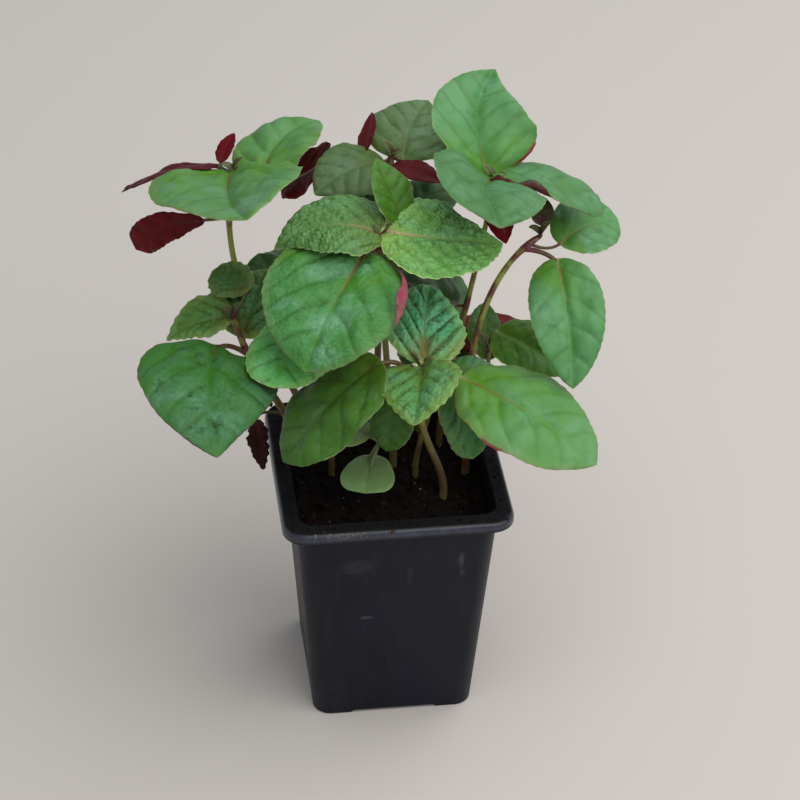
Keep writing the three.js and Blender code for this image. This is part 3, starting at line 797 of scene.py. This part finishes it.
PLANTS = {
    "centre": Plant(foot=(4, 11), bend=(-3, 8, 160), top=(-2, 7, 202), thick=(1.5, 1.0), leaves=[
        Leaf("large", "broad", (-15, 3, 199), turn=-120, rise=-34, roll=-2, length=52, width=54,
             droop=38, swerve=-14, fold=0.22, taper=0.7, start=0.93, curl=(-1, 0, 0.66, 4.5), red=0.7,
             rib_shift=-6, tone=1.2),
        Leaf("young_left", "young", (-4, 7, 204), turn=176, rise=-10, roll=-5, length=42, width=37,
             droop=58, swerve=34, fold=0.24, taper=1.1, tone=0.9),
        Leaf("young_right", "young", (1, 7, 204), turn=5, rise=-13, roll=14, length=46, width=41,
             droop=15, swerve=40, fold=0.22, taper=0.95, tone=1.75),
        Leaf("upright", "olive", (6, 14, 205), turn=120, rise=48, roll=12, length=25, width=20,
             droop=20, swerve=-9, fold=0.32, taper=0.9, start=0.93, tone=1.2),
    ]),
    "front": Plant(foot=(21, -12), bend=(7, -14, 122), top=(10, -17, 158), thick=(1.5, 1.1), leaves=[
        Leaf("upper", "quilted", (12, -15, 160), turn=79, rise=19, roll=12, length=36, width=31,
             droop=12, swerve=-18, fold=0.3, taper=0.85, tone=1.95),
        Leaf("lower", "limed", (10, -19, 160), turn=-103, rise=-9, roll=8, length=33, width=31,
             droop=37, swerve=-7, fold=0.35, taper=0.9, tone=1.12),
        Leaf("drooping", "olive", (-9, -22, 163), turn=-159, rise=-40, length=50, width=40, droop=26,
             swerve=3, fold=0.1, taper=0.6, start=0.92, red=0.2, tone=0.95),
        Leaf("spreading", "bright", (30, -16, 149), turn=-37, rise=-19, roll=5, length=58, width=46,
             droop=23, fold=0.14, taper=0.7, start=0.92, blush=(1, 0.3, 0.5, 1.2), red=0.75),
    ]),
    "left": Plant(foot=(-34, 26), bend=(-50, 18, 128), top=(-58, 21, 160), thick=(1.6, 1.1), leaves=[
        Leaf("large", "puckered", (-66, 3, 158), turn=-94, rise=-11, roll=-10, length=58, width=53,
             droop=46, swerve=26, fold=0.12, taper=0.95, start=0.8, red=0.16, tone=0.9),
        Leaf("outer", "limed", (-59.8, 23, 159.2), turn=-176, rise=-19, roll=-7, length=26, width=24,
             droop=25, swerve=18, fold=0.46, taper=1.2),
        Leaf("rear", "limed", (-52.3, 31.1, 165.9), turn=131, rise=2, roll=-22, length=18, width=17,
             droop=14, swerve=4, fold=0.18, taper=0.56, arch=0.1, tone=0.8),
        Leaf("inner", "limed", (-54, 22, 152), turn=62, rise=34, length=28, width=27, droop=25,
             fold=0.25, start=0.85),
        Leaf("withered", "withered", (-50.3, 15, 113), turn=-84, rise=-42, roll=40, length=19, width=9,
             droop=30, fold=0.3, taper=0.9, start=0.3),
    ]),
    "upper_left": Plant(foot=(-28, 32), bend=(-66, 48, 150), top=(-54, 59, 202), thick=(1.5, 1.0),
        leaves=[
        Leaf("large", "bright", (-56, 55.6, 203.5), turn=-88, rise=15, roll=6, length=62, width=59,
             droop=-12, swerve=24, fold=0.42, taper=0.85, red=0.5, tone=0.85),
        Leaf("rear", "bright", (-43.5, 58, 200), turn=53, rise=4, roll=-10, length=46, width=32,
             droop=33, swerve=-38, fold=0.28, taper=0.72, tone=0.85),
        Leaf("far", "maroon", (-62, 66, 202), turn=175, rise=-19, roll=26, length=38, width=31,
             droop=33, swerve=-9, taper=0.82, start=0.96, tone=0.6),
        Leaf("right_under", "maroon", (-33, 65, 194), turn=52, rise=-7, roll=-72, length=32, width=27,
             droop=-8, swerve=25, taper=0.75, start=0.92, tone=0.75),
        Leaf("low_under", "maroon", (-68, 65.8, 176.1), turn=151, rise=-35, roll=-98, length=35,
             width=14, droop=54, swerve=-34, fold=0.1, taper=0.3, start=0.88),
        Leaf("bud", "maroon", (-58.7, 62.9, 205.4), turn=42, rise=47, length=12, width=7, droop=5,
             swerve=9, fold=0.49, taper=0.78, tone=1.25),
    ]),
    "top_right": Plant(foot=(24, 22), bend=(36, 20, 165), top=(44, 31, 209), thick=(1.3, 0.9), leaves=[
        Leaf("upright", "plain", (41.5, 36, 211.8), turn=78, rise=29, roll=18, length=46, width=43,
             droop=26, swerve=-58, fold=0.52, taper=1.1, red=0.35, tone=1.15,
             blush=(1, 0.02, 0.25, 1.8)),
        Leaf("front", "plain", (43, 27, 211), turn=-97, rise=12, roll=-20, length=54, width=45,
             droop=48, swerve=42, fold=0.42, taper=0.5, red=0.4, tone=0.9),
        Leaf("right", "plain", (42.6, 34.2, 210.3), turn=-15, rise=-17, roll=-12, length=49, width=34,
             droop=53, swerve=-21, fold=0.15, taper=0.48, start=0.97, red=0.3, curl=(1, 0, 0.6, 5)),
        Leaf("small", "maroon", (44.2, 27.4, 202.2), turn=-75, rise=-51, roll=152, length=17, width=17,
             droop=20, fold=0.26, taper=0.9, start=0.92, tone=1.2),
        # Painted dark, as painted shade beneath the leaves above it.
        Leaf("under", "shaded", (29, 27, 157), turn=155, rise=14, length=28, width=26, droop=20,
             start=0.6, hidden=True, tone=0.55),
    ]),
    "right": Plant(foot=(32, 3), bend=(28, 9, 177), top=(61, 20, 190), thick=(1.6, 1.0), leaves=[
        Leaf("hanging", "plain", (67.6, 14.6, 179), turn=-89, rise=-42, roll=4, length=50, width=29,
             droop=46, swerve=-4, fold=0.32, start=0.92, red=0.45, tone=1.2),
        Leaf("outer", "plain", (71, 25, 184), turn=36, rise=-6, roll=26, length=32, width=26, droop=33,
             swerve=-17, fold=0.22, taper=0.55, start=0.95, tone=1.2),
        Leaf("small", "bud", (62, 24, 193), turn=80, rise=30, length=12, width=9, droop=10, fold=0.4,
             taper=0.9),
    ]),
    "back": Plant(foot=(0, 34), bend=(2, 46, 160), top=(8, 60, 205), thick=(1.5, 1.0), leaves=[
        Leaf("right", "dusky", (13, 63, 203), turn=67, rise=7, roll=7, length=38, width=33, droop=17,
             swerve=-20, taper=0.9),
        Leaf("left", "dusky", (3, 58, 204), turn=-153, rise=-10, roll=-16, length=31, width=28,
             droop=36, swerve=16, fold=0.15, taper=0.9, tone=0.85),
        Leaf("sliver", "maroon", (-2, 66, 205), turn=72, rise=30, roll=-50, length=17, width=11,
             droop=10, fold=0.3, start=0.98),
        Leaf("between", "maroon", (9.5, 57, 202), turn=-22, rise=-12, length=19, width=15, droop=20,
             fold=0.3, start=0.97),
        Leaf("second_right", "shaded", (7, 50, 182), turn=30, rise=8, length=34, width=30, droop=30,
             start=0.85, hidden=True),
        Leaf("second_left", "shaded", (-1, 60, 184), turn=85, rise=0, length=36, width=32, droop=35,
             start=0.75, hidden=True),
        Leaf("third_left", "olive", (-4, 48, 146), turn=115, rise=5, length=36, width=32, droop=35,
             swerve=10, start=0.5, hidden=True),
        Leaf("third_right", "olive", (10, 48, 148), turn=55, rise=5, length=32, width=28, droop=35,
             swerve=-10, start=0.5, hidden=True),
    ]),
    "inner_left": Plant(foot=(-21, 8), bend=(-18, 9, 134), top=(-19, 9, 166), thick=(1.3, 0.9), leaves=[
        Leaf("front", "broad", (-23.3, 8, 169.6), turn=-126, rise=-15, roll=-3, length=43, width=34,
             droop=6, swerve=27, fold=0.05, taper=0.52, tone=2.1),
        Leaf("rear", "shaded", (-18, 15, 152), turn=75, rise=10, length=28, width=26, droop=30,
             hidden=True),
    ]),
    "right_mid": Plant(foot=(33, 16), bend=(43, 18, 115), top=(42, 17, 141), thick=(1.2, 0.8), leaves=[
        Leaf("rear", "olive", (41, 17.6, 137.3), turn=81, rise=21, roll=20, length=26, width=15,
             droop=22, swerve=-8, fold=0.24, taper=0.84),
        Leaf("front", "olive", (47, 20, 146), turn=-40, rise=-16, roll=10, length=32, width=27,
             droop=35, tone=1.4),
    ]),
    "low": Plant(foot=(12, 4), bend=(16, 0, 118), top=(18, -3, 137), thick=(1.2, 0.8), leaves=[
        Leaf("right", "broad", (24.6, -2.6, 136.1), turn=-64, rise=-57, roll=-1, length=29, width=22,
             droop=39, swerve=-6, fold=0.29, taper=0.6, tone=1.3),
        Leaf("left", "olive", (3, -5, 136), turn=-120, rise=-62, length=22, width=18, droop=25,
             fold=0.15, taper=0.6),
        Leaf("flat", "plain", (25.7, -5.7, 148.1), turn=6, rise=-11, roll=3, length=18, width=15,
             droop=22, swerve=-2, fold=0.17, taper=0.88),
        Leaf("rear", "shaded", (22, 4, 149), turn=102, rise=36, length=27, width=18, droop=15,
             fold=0.25),
    ]),
    "seedling": Plant(foot=(-10, -4), bend=(-8, -5, 108), top=(-4, -9, 118), thick=(0.9, 0.7), leaves=[
        Leaf("front", "seed", (-8.8, -15, 109.6), turn=-103, rise=-6, length=14, width=21, droop=30,
             swerve=5, fold=0.18, taper=0.42, backset=0.9, tone=1.55),
        Leaf("rear", "seed", (-8, -4, 118), turn=150, rise=5, length=13, width=20, droop=20, fold=0.05,
             taper=0.5, tone=1.8),
    ]),
    "back_left": Plant(foot=(-14, 28), bend=(-26, 36, 130), top=(-35, 42, 158), thick=(1.4, 0.9),
        leaves=[
        Leaf("front", "shaded", (-39, 43, 158), turn=112, rise=26, length=17, width=22, droop=20),
        Leaf("rear", "shaded", (-31, 48, 157), turn=85, rise=-14, length=38, width=36, droop=40,
             hidden=True),
        Leaf("low", "olive", (-27, 42, 128), turn=100, rise=0, length=30, width=28, droop=35, start=0.6,
             hidden=True),
    ]),
    "back_right": Plant(foot=(16, 32), bend=(24, 40, 114), top=(32, 46, 131), thick=(1.4, 0.9), leaves=[
        Leaf("right", "maroon", (34, 46, 125), turn=28, rise=-5, length=34, width=26, droop=30,
             hidden=True),
        Leaf("rear", "shaded", (28, 51, 133), turn=105, rise=10, length=36, width=32, droop=40,
             hidden=True),
        Leaf("low", "shaded", (23, 42, 114), turn=75, rise=0, length=32, width=30, droop=35, start=0.6,
             hidden=True),
    ]),
}


def headings(leaf, along):
    """The heading, the side to the right of it and the upward normal at shares of the length."""
    azimuth = np.radians(leaf.turn + leaf.swerve * (along - 0.5))
    rise = np.radians(leaf.rise + leaf.droop * (0.5 - along))
    ahead = np.stack([np.cos(azimuth) * np.cos(rise), np.sin(azimuth) * np.cos(rise),
                      np.sin(rise)], axis=-1)
    level = np.stack([np.sin(azimuth), -np.cos(azimuth), 0 * azimuth], axis=-1)
    roll = math.radians(leaf.roll)
    side = level * math.cos(roll) + np.cross(ahead, level) * math.sin(roll)
    return ahead, side, np.cross(side, ahead)


def midrib(leaf, along):
    """Points on the midrib at shares of its length."""
    steps = np.linspace(0, 1, MIDRIB_STEPS + 1)
    middles = (steps[1:] + steps[:-1]) / 2
    moves = headings(leaf, middles)[0] * leaf.length / MIDRIB_STEPS
    path = np.vstack([[0, 0, 0], np.cumsum(moves, axis=0)]) + np.array(leaf.at)
    return np.stack([np.interp(along, steps, path[:, k]) for k in range(3)], axis=-1)


def half_width(leaf, along):
    def outline(t):
        return t ** BULGE * (1 - t) ** leaf.taper
    widest = outline(BULGE / (BULGE + leaf.taper))
    body = outline(np.minimum(along, 1 - TIP))
    point = np.clip((1 - along) / TIP, 0, 1) ** 0.85
    return leaf.width / 2 * body / widest * point


def margin_share(leaf, along):
    """How far round the margin each share of the length lies, from 0 at the base to 1."""
    steps = np.linspace(0, 1, OUTLINE_STEPS + 1)
    run = np.hypot(np.diff(steps) * leaf.length, np.diff(half_width(leaf, steps)))
    reached = np.concatenate([[0], np.cumsum(run)])
    return np.interp(along, steps, reached / reached[-1])


def size_share(leaf):
    """1 for a leaf of full size, and less for a small one."""
    return min(1, leaf.length / FULL_SIZE)


def rib_groove(leaf, along):
    return RIB_GROOVE * size_share(leaf) * (1 - along) * smooth(along / 0.04)


def cloud(flat, scale, seed):
    """Smooth noise from about -1 to 1 at points of the flat blade, with its scale in mm."""
    return np.array([noise.noise(Vector((x / scale, y / scale, seed))) for x, y in flat]) * 1.6


def net_of(x, y, cell, seed):
    """0 on the lines of a fine net of meshes and up to 1 inside them."""
    near = noise.voronoi(Vector((x / cell, y / cell, seed)))[0]
    return min(1.0, 2.4 * (near[1] - near[0]))


def on_stretch(stretch, t, side_sign, ease_in, ease_out):
    """1 along a stretch of one margin, softly down to 0 beyond its ends."""
    which, start, end, _ = stretch
    return smooth((t - start) / ease_in) * smooth((end - t) / ease_out) * (side_sign == which)


def teeth_of(leaf, look, t, share, round_margin):
    """How far the teeth of the margin stand out."""
    count = round(leaf.length / look.tooth_pitch) + 2
    phase = (round_margin * count) % 1
    saw = np.minimum(phase / TOOTH_BACK, (1 - phase) / (1 - TOOTH_BACK))
    teeth = look.tooth * saw * smooth((share - 0.8) / 0.2) * smooth(round_margin / 0.12)
    return teeth * smooth((1 - t) / 0.04)


def make_blade(node, name, leaf, seed, materials):
    """A blade from a grid: rows from base to tip and columns from margin to margin."""
    look = LOOKS[leaf.look]
    grain = COARSE if leaf.hidden else look.grain
    rows = int(np.clip(1.25 * leaf.length / grain, 24, 110))
    columns = 2 * int(np.clip(0.5 * leaf.width / grain, 8, 42))
    blade = start_piece(f"{node}_{name}", bpy.ops.mesh.primitive_grid_add, size=2,
                        x_subdivisions=columns, y_subdivisions=rows)
    unit = points_of(blade)

    steps = np.linspace(0, 1, OUTLINE_STEPS + 1)
    even = 0.55 * margin_share(leaf, steps) + 0.45 * steps
    t = np.interp((unit[:, 1] + 1) / 2, even, steps)
    w = unit[:, 0]
    s = 0.6 * w + 0.4 * np.sin(np.pi / 2 * w)
    side_sign, share = np.sign(s), np.abs(s)

    half = half_width(leaf, t)
    ahead, side, normal = headings(leaf, t)
    backset = leaf.backset * leaf.length * share * (1 - t) ** 3
    round_margin = margin_share(leaf, t)

    # A rolled margin: past the fold the blade turns up and back over itself.
    over = np.zeros_like(t)
    across = share * half
    if leaf.curl:
        window = on_stretch(leaf.curl, t, side_sign, 0.15, 0.25)
        window *= 1 + 0.22 * np.sin(21 * t + 0.6)
        reached = share * (half + leaf.curl[3] * window)
        over = np.maximum(reached - half, 0)
        across = np.minimum(reached, half)
    angle = np.minimum(over / CURL_RADIUS, CURL_ANGLE)
    rest = np.maximum(over - CURL_ANGLE * CURL_RADIUS, 0)
    teeth = teeth_of(leaf, look, t, share, round_margin) * (over == 0)
    sideways = across + teeth + CURL_RADIUS * np.sin(angle) + rest * math.cos(CURL_ANGLE)
    lie = np.where(half > 0, across / np.maximum(half, 1e-6), 0)
    shift = leaf.rib_shift * (1 - t) ** 2
    off_rib = side_sign * across - shift
    lift = leaf.fold * np.abs(off_rib) - CUP * half * lie ** 2
    lift += CURL_RADIUS * (1 - np.cos(angle)) + rest * math.sin(CURL_ANGLE)

    # Side veins sweep forward. Between them the blade is puffed up, with a fine net in relief.
    x = t * leaf.length - backset
    y = np.abs(off_rib)
    flat = np.column_stack([x, side_sign * (across + over)])
    count = look.pairs * (x - look.lean * y - VEIN_BEND * y ** 2) / leaf.length
    count += 0.14 * np.sign(off_rib) + 0.14 * cloud(flat, 15, seed + 20) * smooth(y / 8)
    pillow = 1 - np.abs(2 * (count % 1) - 1) ** look.dome
    inside = smooth(y / 3.5) * (1 - lie ** 6) * smooth((1 - t) / 0.12) * smooth(t / 0.06)
    inside *= over == 0
    size = size_share(leaf)
    net = np.array([net_of(a, b, look.cell, seed) for a, b in flat])
    quilt = look.puff * pillow * (0.4 + 0.9 * smooth(0.5 + 0.6 * cloud(flat, 13, seed + 30)))
    dents = cloud(flat, 4.5, seed + 40) * smooth(0.4 + 0.8 * cloud(flat, 15, seed + 80))
    mesh = look.net * (net ** 0.7 - 0.5) * (0.75 + 0.5 * cloud(flat, 16, seed + 60))
    detail = (size * quilt + mesh + 0.5 * size * dents) * inside
    relief = detail - rib_groove(leaf, t) * np.exp(-y ** 2)
    relief += 1.5 * size * cloud(flat, 12, seed + 50) * smooth(y / 6) * (1 - t ** 4)
    relief += 0.8 * cloud(flat, 3.4, seed + 70) * smooth(over / 1.5)
    ruffle = np.sin(2 * np.pi * 3.2 * round_margin + seed + side_sign)
    ruffle += 0.5 * np.sin(2 * np.pi * 7.3 * round_margin + 2 * seed)
    relief += look.wave * size * ruffle * lie ** 4 * smooth(t / 0.2) * (1 - t)
    relief -= 0.35 * size * lie ** 10

    points = midrib(leaf, t) + side * (side_sign * sideways)[:, None]
    points += normal * (lift + relief)[:, None] - ahead * backset[:, None]
    put_points(blade, points * MM)

    blush = np.zeros_like(t)
    if leaf.blush:
        blush = on_stretch(leaf.blush, t, side_sign, 0.05, 0.05)
        blush *= smooth((leaf.blush[3] - (1 - lie) * half) / 0.6)
    height = np.clip(0.5 + detail / (look.puff + look.net + 0.6), 0, 1)
    redness = smooth((leaf.red - t) / leaf.red)
    rib_width = (0.2 + 0.36 * (1 - t) ** 1.4 * size) * look.rib_width
    note(blade, "blade", t, redness, (1 - lie) * half + over)
    note(blade, "veins", count, 0.8 * leaf.length / look.pairs, net)
    note(blade, "tint", blush, leaf.tone, height)
    note(blade, "rib", y / rib_width, 0, 0)
    with editing(blade, "VERT"):
        bpy.ops.mesh.select_all(action="SELECT")
        bpy.ops.mesh.remove_doubles(threshold=0.02 * MM)
    for material in materials:
        blade.data.materials.append(material)
    modify(blade, "SOLIDIFY", thickness=BLADE * MM, offset=-1, material_offset=1)
    finish_piece(blade, node, "foliage", angle=60)


def bezier(points, shares):
    """Points of a Bezier curve of any degree."""
    layers = [np.array(p, float)[None, :] for p in points]
    t = np.asarray(shares)[:, None]
    while len(layers) > 1:
        layers = [a * (1 - t) + b * t for a, b in zip(layers, layers[1:])]
    return layers[0]


def stem_controls(plant):
    x, y = plant.foot
    start = SOIL_LEVEL + 3
    lift = start + (plant.top[2] - SOIL_LEVEL) / 4
    return [(x, y, start), (x, y, lift), plant.bend, plant.top]


def rod(path, radii, sides, leafy, warmth, corners=0.0):
    """A closed tube along a path. corners squares its section, as on a perilla stem."""
    steps = len(path) - 1
    tube = start_piece("rod", bpy.ops.mesh.primitive_cylinder_add, vertices=sides, radius=1,
                       depth=1, end_fill_type="NGON")
    with editing(tube, "EDGE"):
        pick(tube, "edges", lambda e: abs(e.verts[0].co.z - e.verts[1].co.z) > 0.5)
        bpy.ops.mesh.subdivide(number_cuts=steps - 1)
    unit = points_of(tube)
    row = np.rint((unit[:, 2] + 0.5) * steps).astype(int)
    tangents = np.gradient(path, axis=0)
    tangents /= np.linalg.norm(tangents, axis=1, keepdims=True)
    side = np.array([1.0, 0.0, 0.0])
    sides_of = []
    for tangent in tangents:
        side = side - tangent * side.dot(tangent)
        side /= np.linalg.norm(side)
        sides_of.append(side)
    first = np.array(sides_of)
    second = np.cross(tangents, first)
    angle = np.arctan2(unit[:, 1], unit[:, 0])
    reach = np.asarray(radii)[row] * (1 + corners * np.cos(4 * angle))
    offset = first[row] * np.cos(angle)[:, None] + second[row] * np.sin(angle)[:, None]
    put_points(tube, (path[row] + offset * reach[:, None]) * MM)
    note(tube, "stalk", row / steps, leafy, warmth[row])
    return tube


def make_stalk(leaf, controls, warmth):
    """The petiole, which arches off the stem and goes on as the raised rib under the blade."""
    thick = np.clip(leaf.length / 55, 0.55, 0.95)
    start = bezier(controls, [leaf.start])[0]
    ahead, side, normal = headings(leaf, np.array([0.0]))
    end = np.array(leaf.at) - normal[0] * (thick + 0.15) + side[0] * leaf.rib_shift
    bow = end - ahead[0] * np.linalg.norm(end - start) * leaf.arch
    arch = bezier([start, bow, end], np.linspace(0, 1, ARCH_RINGS))
    from_stem, to_blade = np.linspace(0, 6, ARCH_RINGS), np.linspace(5, 0, ARCH_RINGS)
    flare = 1 + 0.35 * np.exp(-from_stem) + 0.15 * np.exp(-to_blade)
    along = np.linspace(0.06, RIB_REACH, 12)
    rib_radii = thick * (0.75 * (1 - along) ** 1.2 + 0.08)
    _, side, normal = headings(leaf, along)
    depth = 0.15 + rib_radii + rib_groove(leaf, along)
    rib = midrib(leaf, along) - normal * depth[:, None]
    rib += side * (leaf.rib_shift * (1 - along) ** 2)[:, None]
    radii = np.concatenate([thick * flare, rib_radii])
    joint = np.exp(-np.linspace(0, 12, len(radii)))
    return rod(np.vstack([arch, rib]), radii, sides=9, leafy=1, warmth=warmth + 1.2 * joint)


def make_stem(plant, warmth):
    """A stem from its hole to its tip, swollen where stalks leave it."""
    controls = stem_controls(plant)
    shares = np.linspace(0, 1, STEM_RINGS)
    path = np.vstack([[*plant.foot, STEM_FOOT], bezier(controls, shares)])
    thick, thin = plant.thick
    swell = np.zeros(STEM_RINGS + 1)
    for leaf in plant.leaves:
        swell[1:] += 0.22 * np.exp(-((shares - leaf.start) / 0.025) ** 2)
    joints = np.minimum(swell, 0.35)
    radii = np.linspace(thick, thin, STEM_RINGS + 1) * (1 + joints)
    radii[-1] *= 0.7
    return rod(path, radii, sides=14, leafy=0, warmth=warmth + 2.4 * joints, corners=0.07)


def make_bud(leaf, controls, warmth):
    """A brownish purple bud in the angle between a leaf stalk and the stem."""
    start = bezier(controls, [leaf.start])[0]
    out = np.array(leaf.at) - start
    out /= np.linalg.norm(out)
    size = 1.25 * np.clip(leaf.length / 50, 0.5, 1)
    foot = start + out * 0.8 + np.array([0, 0, 0.4])
    lean = 0.55 * out + np.array([0, 0, 0.85])
    along = np.linspace(0, 1, 8)
    path = foot + np.outer(along, lean) * 2.9 * size
    radii = size * np.sqrt(np.maximum(np.sin(np.pi * (0.12 + 0.86 * along)), 0.02))
    return rod(path, radii, sides=10, leafy=1, warmth=np.full(len(path), warmth + 0.7))


def tip_leaves(plant):
    """Two tiny folded leaves that stand at the tip of a stem, across its top pair."""
    turn = plant.leaves[0].turn + 90
    x, y, z = plant.top
    return [Leaf("tip", "bud", (x, y, z - 0.3), turn=turn + k * 170, rise=62 - 20 * k,
                 length=8 - 1.5 * k, width=5, droop=40, swerve=20, fold=0.6, red=0.9, hidden=True)
            for k in range(2)]


def make_plants():
    faces = {name: leaf_materials(name, look) for name, look in LOOKS.items()}
    stalks = stalk_material()
    for place, (node, plant) in enumerate(PLANTS.items()):
        warmth = -1 if node == "seedling" else 0.35 + 0.5 * ((place * 0.37) % 1)
        controls = stem_controls(plant)
        rods = [make_stem(plant, warmth)]
        for k, leaf in enumerate(plant.leaves):
            rods.append(make_stalk(leaf, controls, warmth))
            if leaf.start < BUD_BELOW and not leaf.hidden and leaf.look != "withered":
                rods.append(make_bud(leaf, controls, warmth))
            make_blade(node, leaf.name + "_leaf", leaf, 10 * place + k, faces[leaf.look])
        for k, leaf in enumerate(tip_leaves(plant)):
            make_blade(node, f"tip_leaf_{k + 1}", leaf, 500 + 10 * place + k, faces[leaf.look])
        finish_piece(join(node + "_stems", rods), node, "foliage", stalks, angle=50)


# The stage.

def make_stage():
    floor = start_piece("floor", bpy.ops.mesh.primitive_plane_add, size=8)
    finish = Finish("pale floor")
    floor.data.materials.append(finish.set(Base_Color=srgb(196, 189, 182), Roughness=0.8))

    world = bpy.data.worlds.new("studio")
    world.use_nodes = True
    background = world.node_tree.nodes["Background"]
    background.inputs["Color"].default_value = (0.88, 0.94, 1.0, 1)
    background.inputs["Strength"].default_value = 0.5
    bpy.context.scene.world = world

    for name, place, size, power in (
            ("key", (0.5, -0.55, 1.45), 2.0, 25),
            ("fill", (0.9, 0.7, 1.1), 1.0, 5)):
        lamp = bpy.data.lights.new(name, "AREA")
        lamp.size = size
        lamp.energy = power
        lamp.color = (1, 0.985, 0.96)
        light = bpy.data.objects.new(name, lamp)
        light.location = place
        light.rotation_euler = (Vector((0, 0, 0.15)) - light.location).to_track_quat(
            "-Z", "Y").to_euler()
        bpy.context.collection.objects.link(light)

    lens = bpy.data.cameras.new("camera")
    lens.sensor_width = SENSOR
    lens.lens = CAMERA_FOCAL * SENSOR
    camera = bpy.data.objects.new("camera", lens)
    right, up = Vector(CAMERA_RIGHT), Vector(CAMERA_UP)
    turned = Matrix((right, up, right.cross(up))).transposed().to_4x4()
    camera.matrix_world = Matrix.Translation(Vector(CAMERA_AT) * MM) @ turned
    bpy.context.collection.objects.link(camera)
    bpy.context.scene.camera = camera
    bpy.context.scene.view_settings.view_transform = "Standard"


make_stage()
make_pot()
make_soil()
make_crumbs()
make_plants()
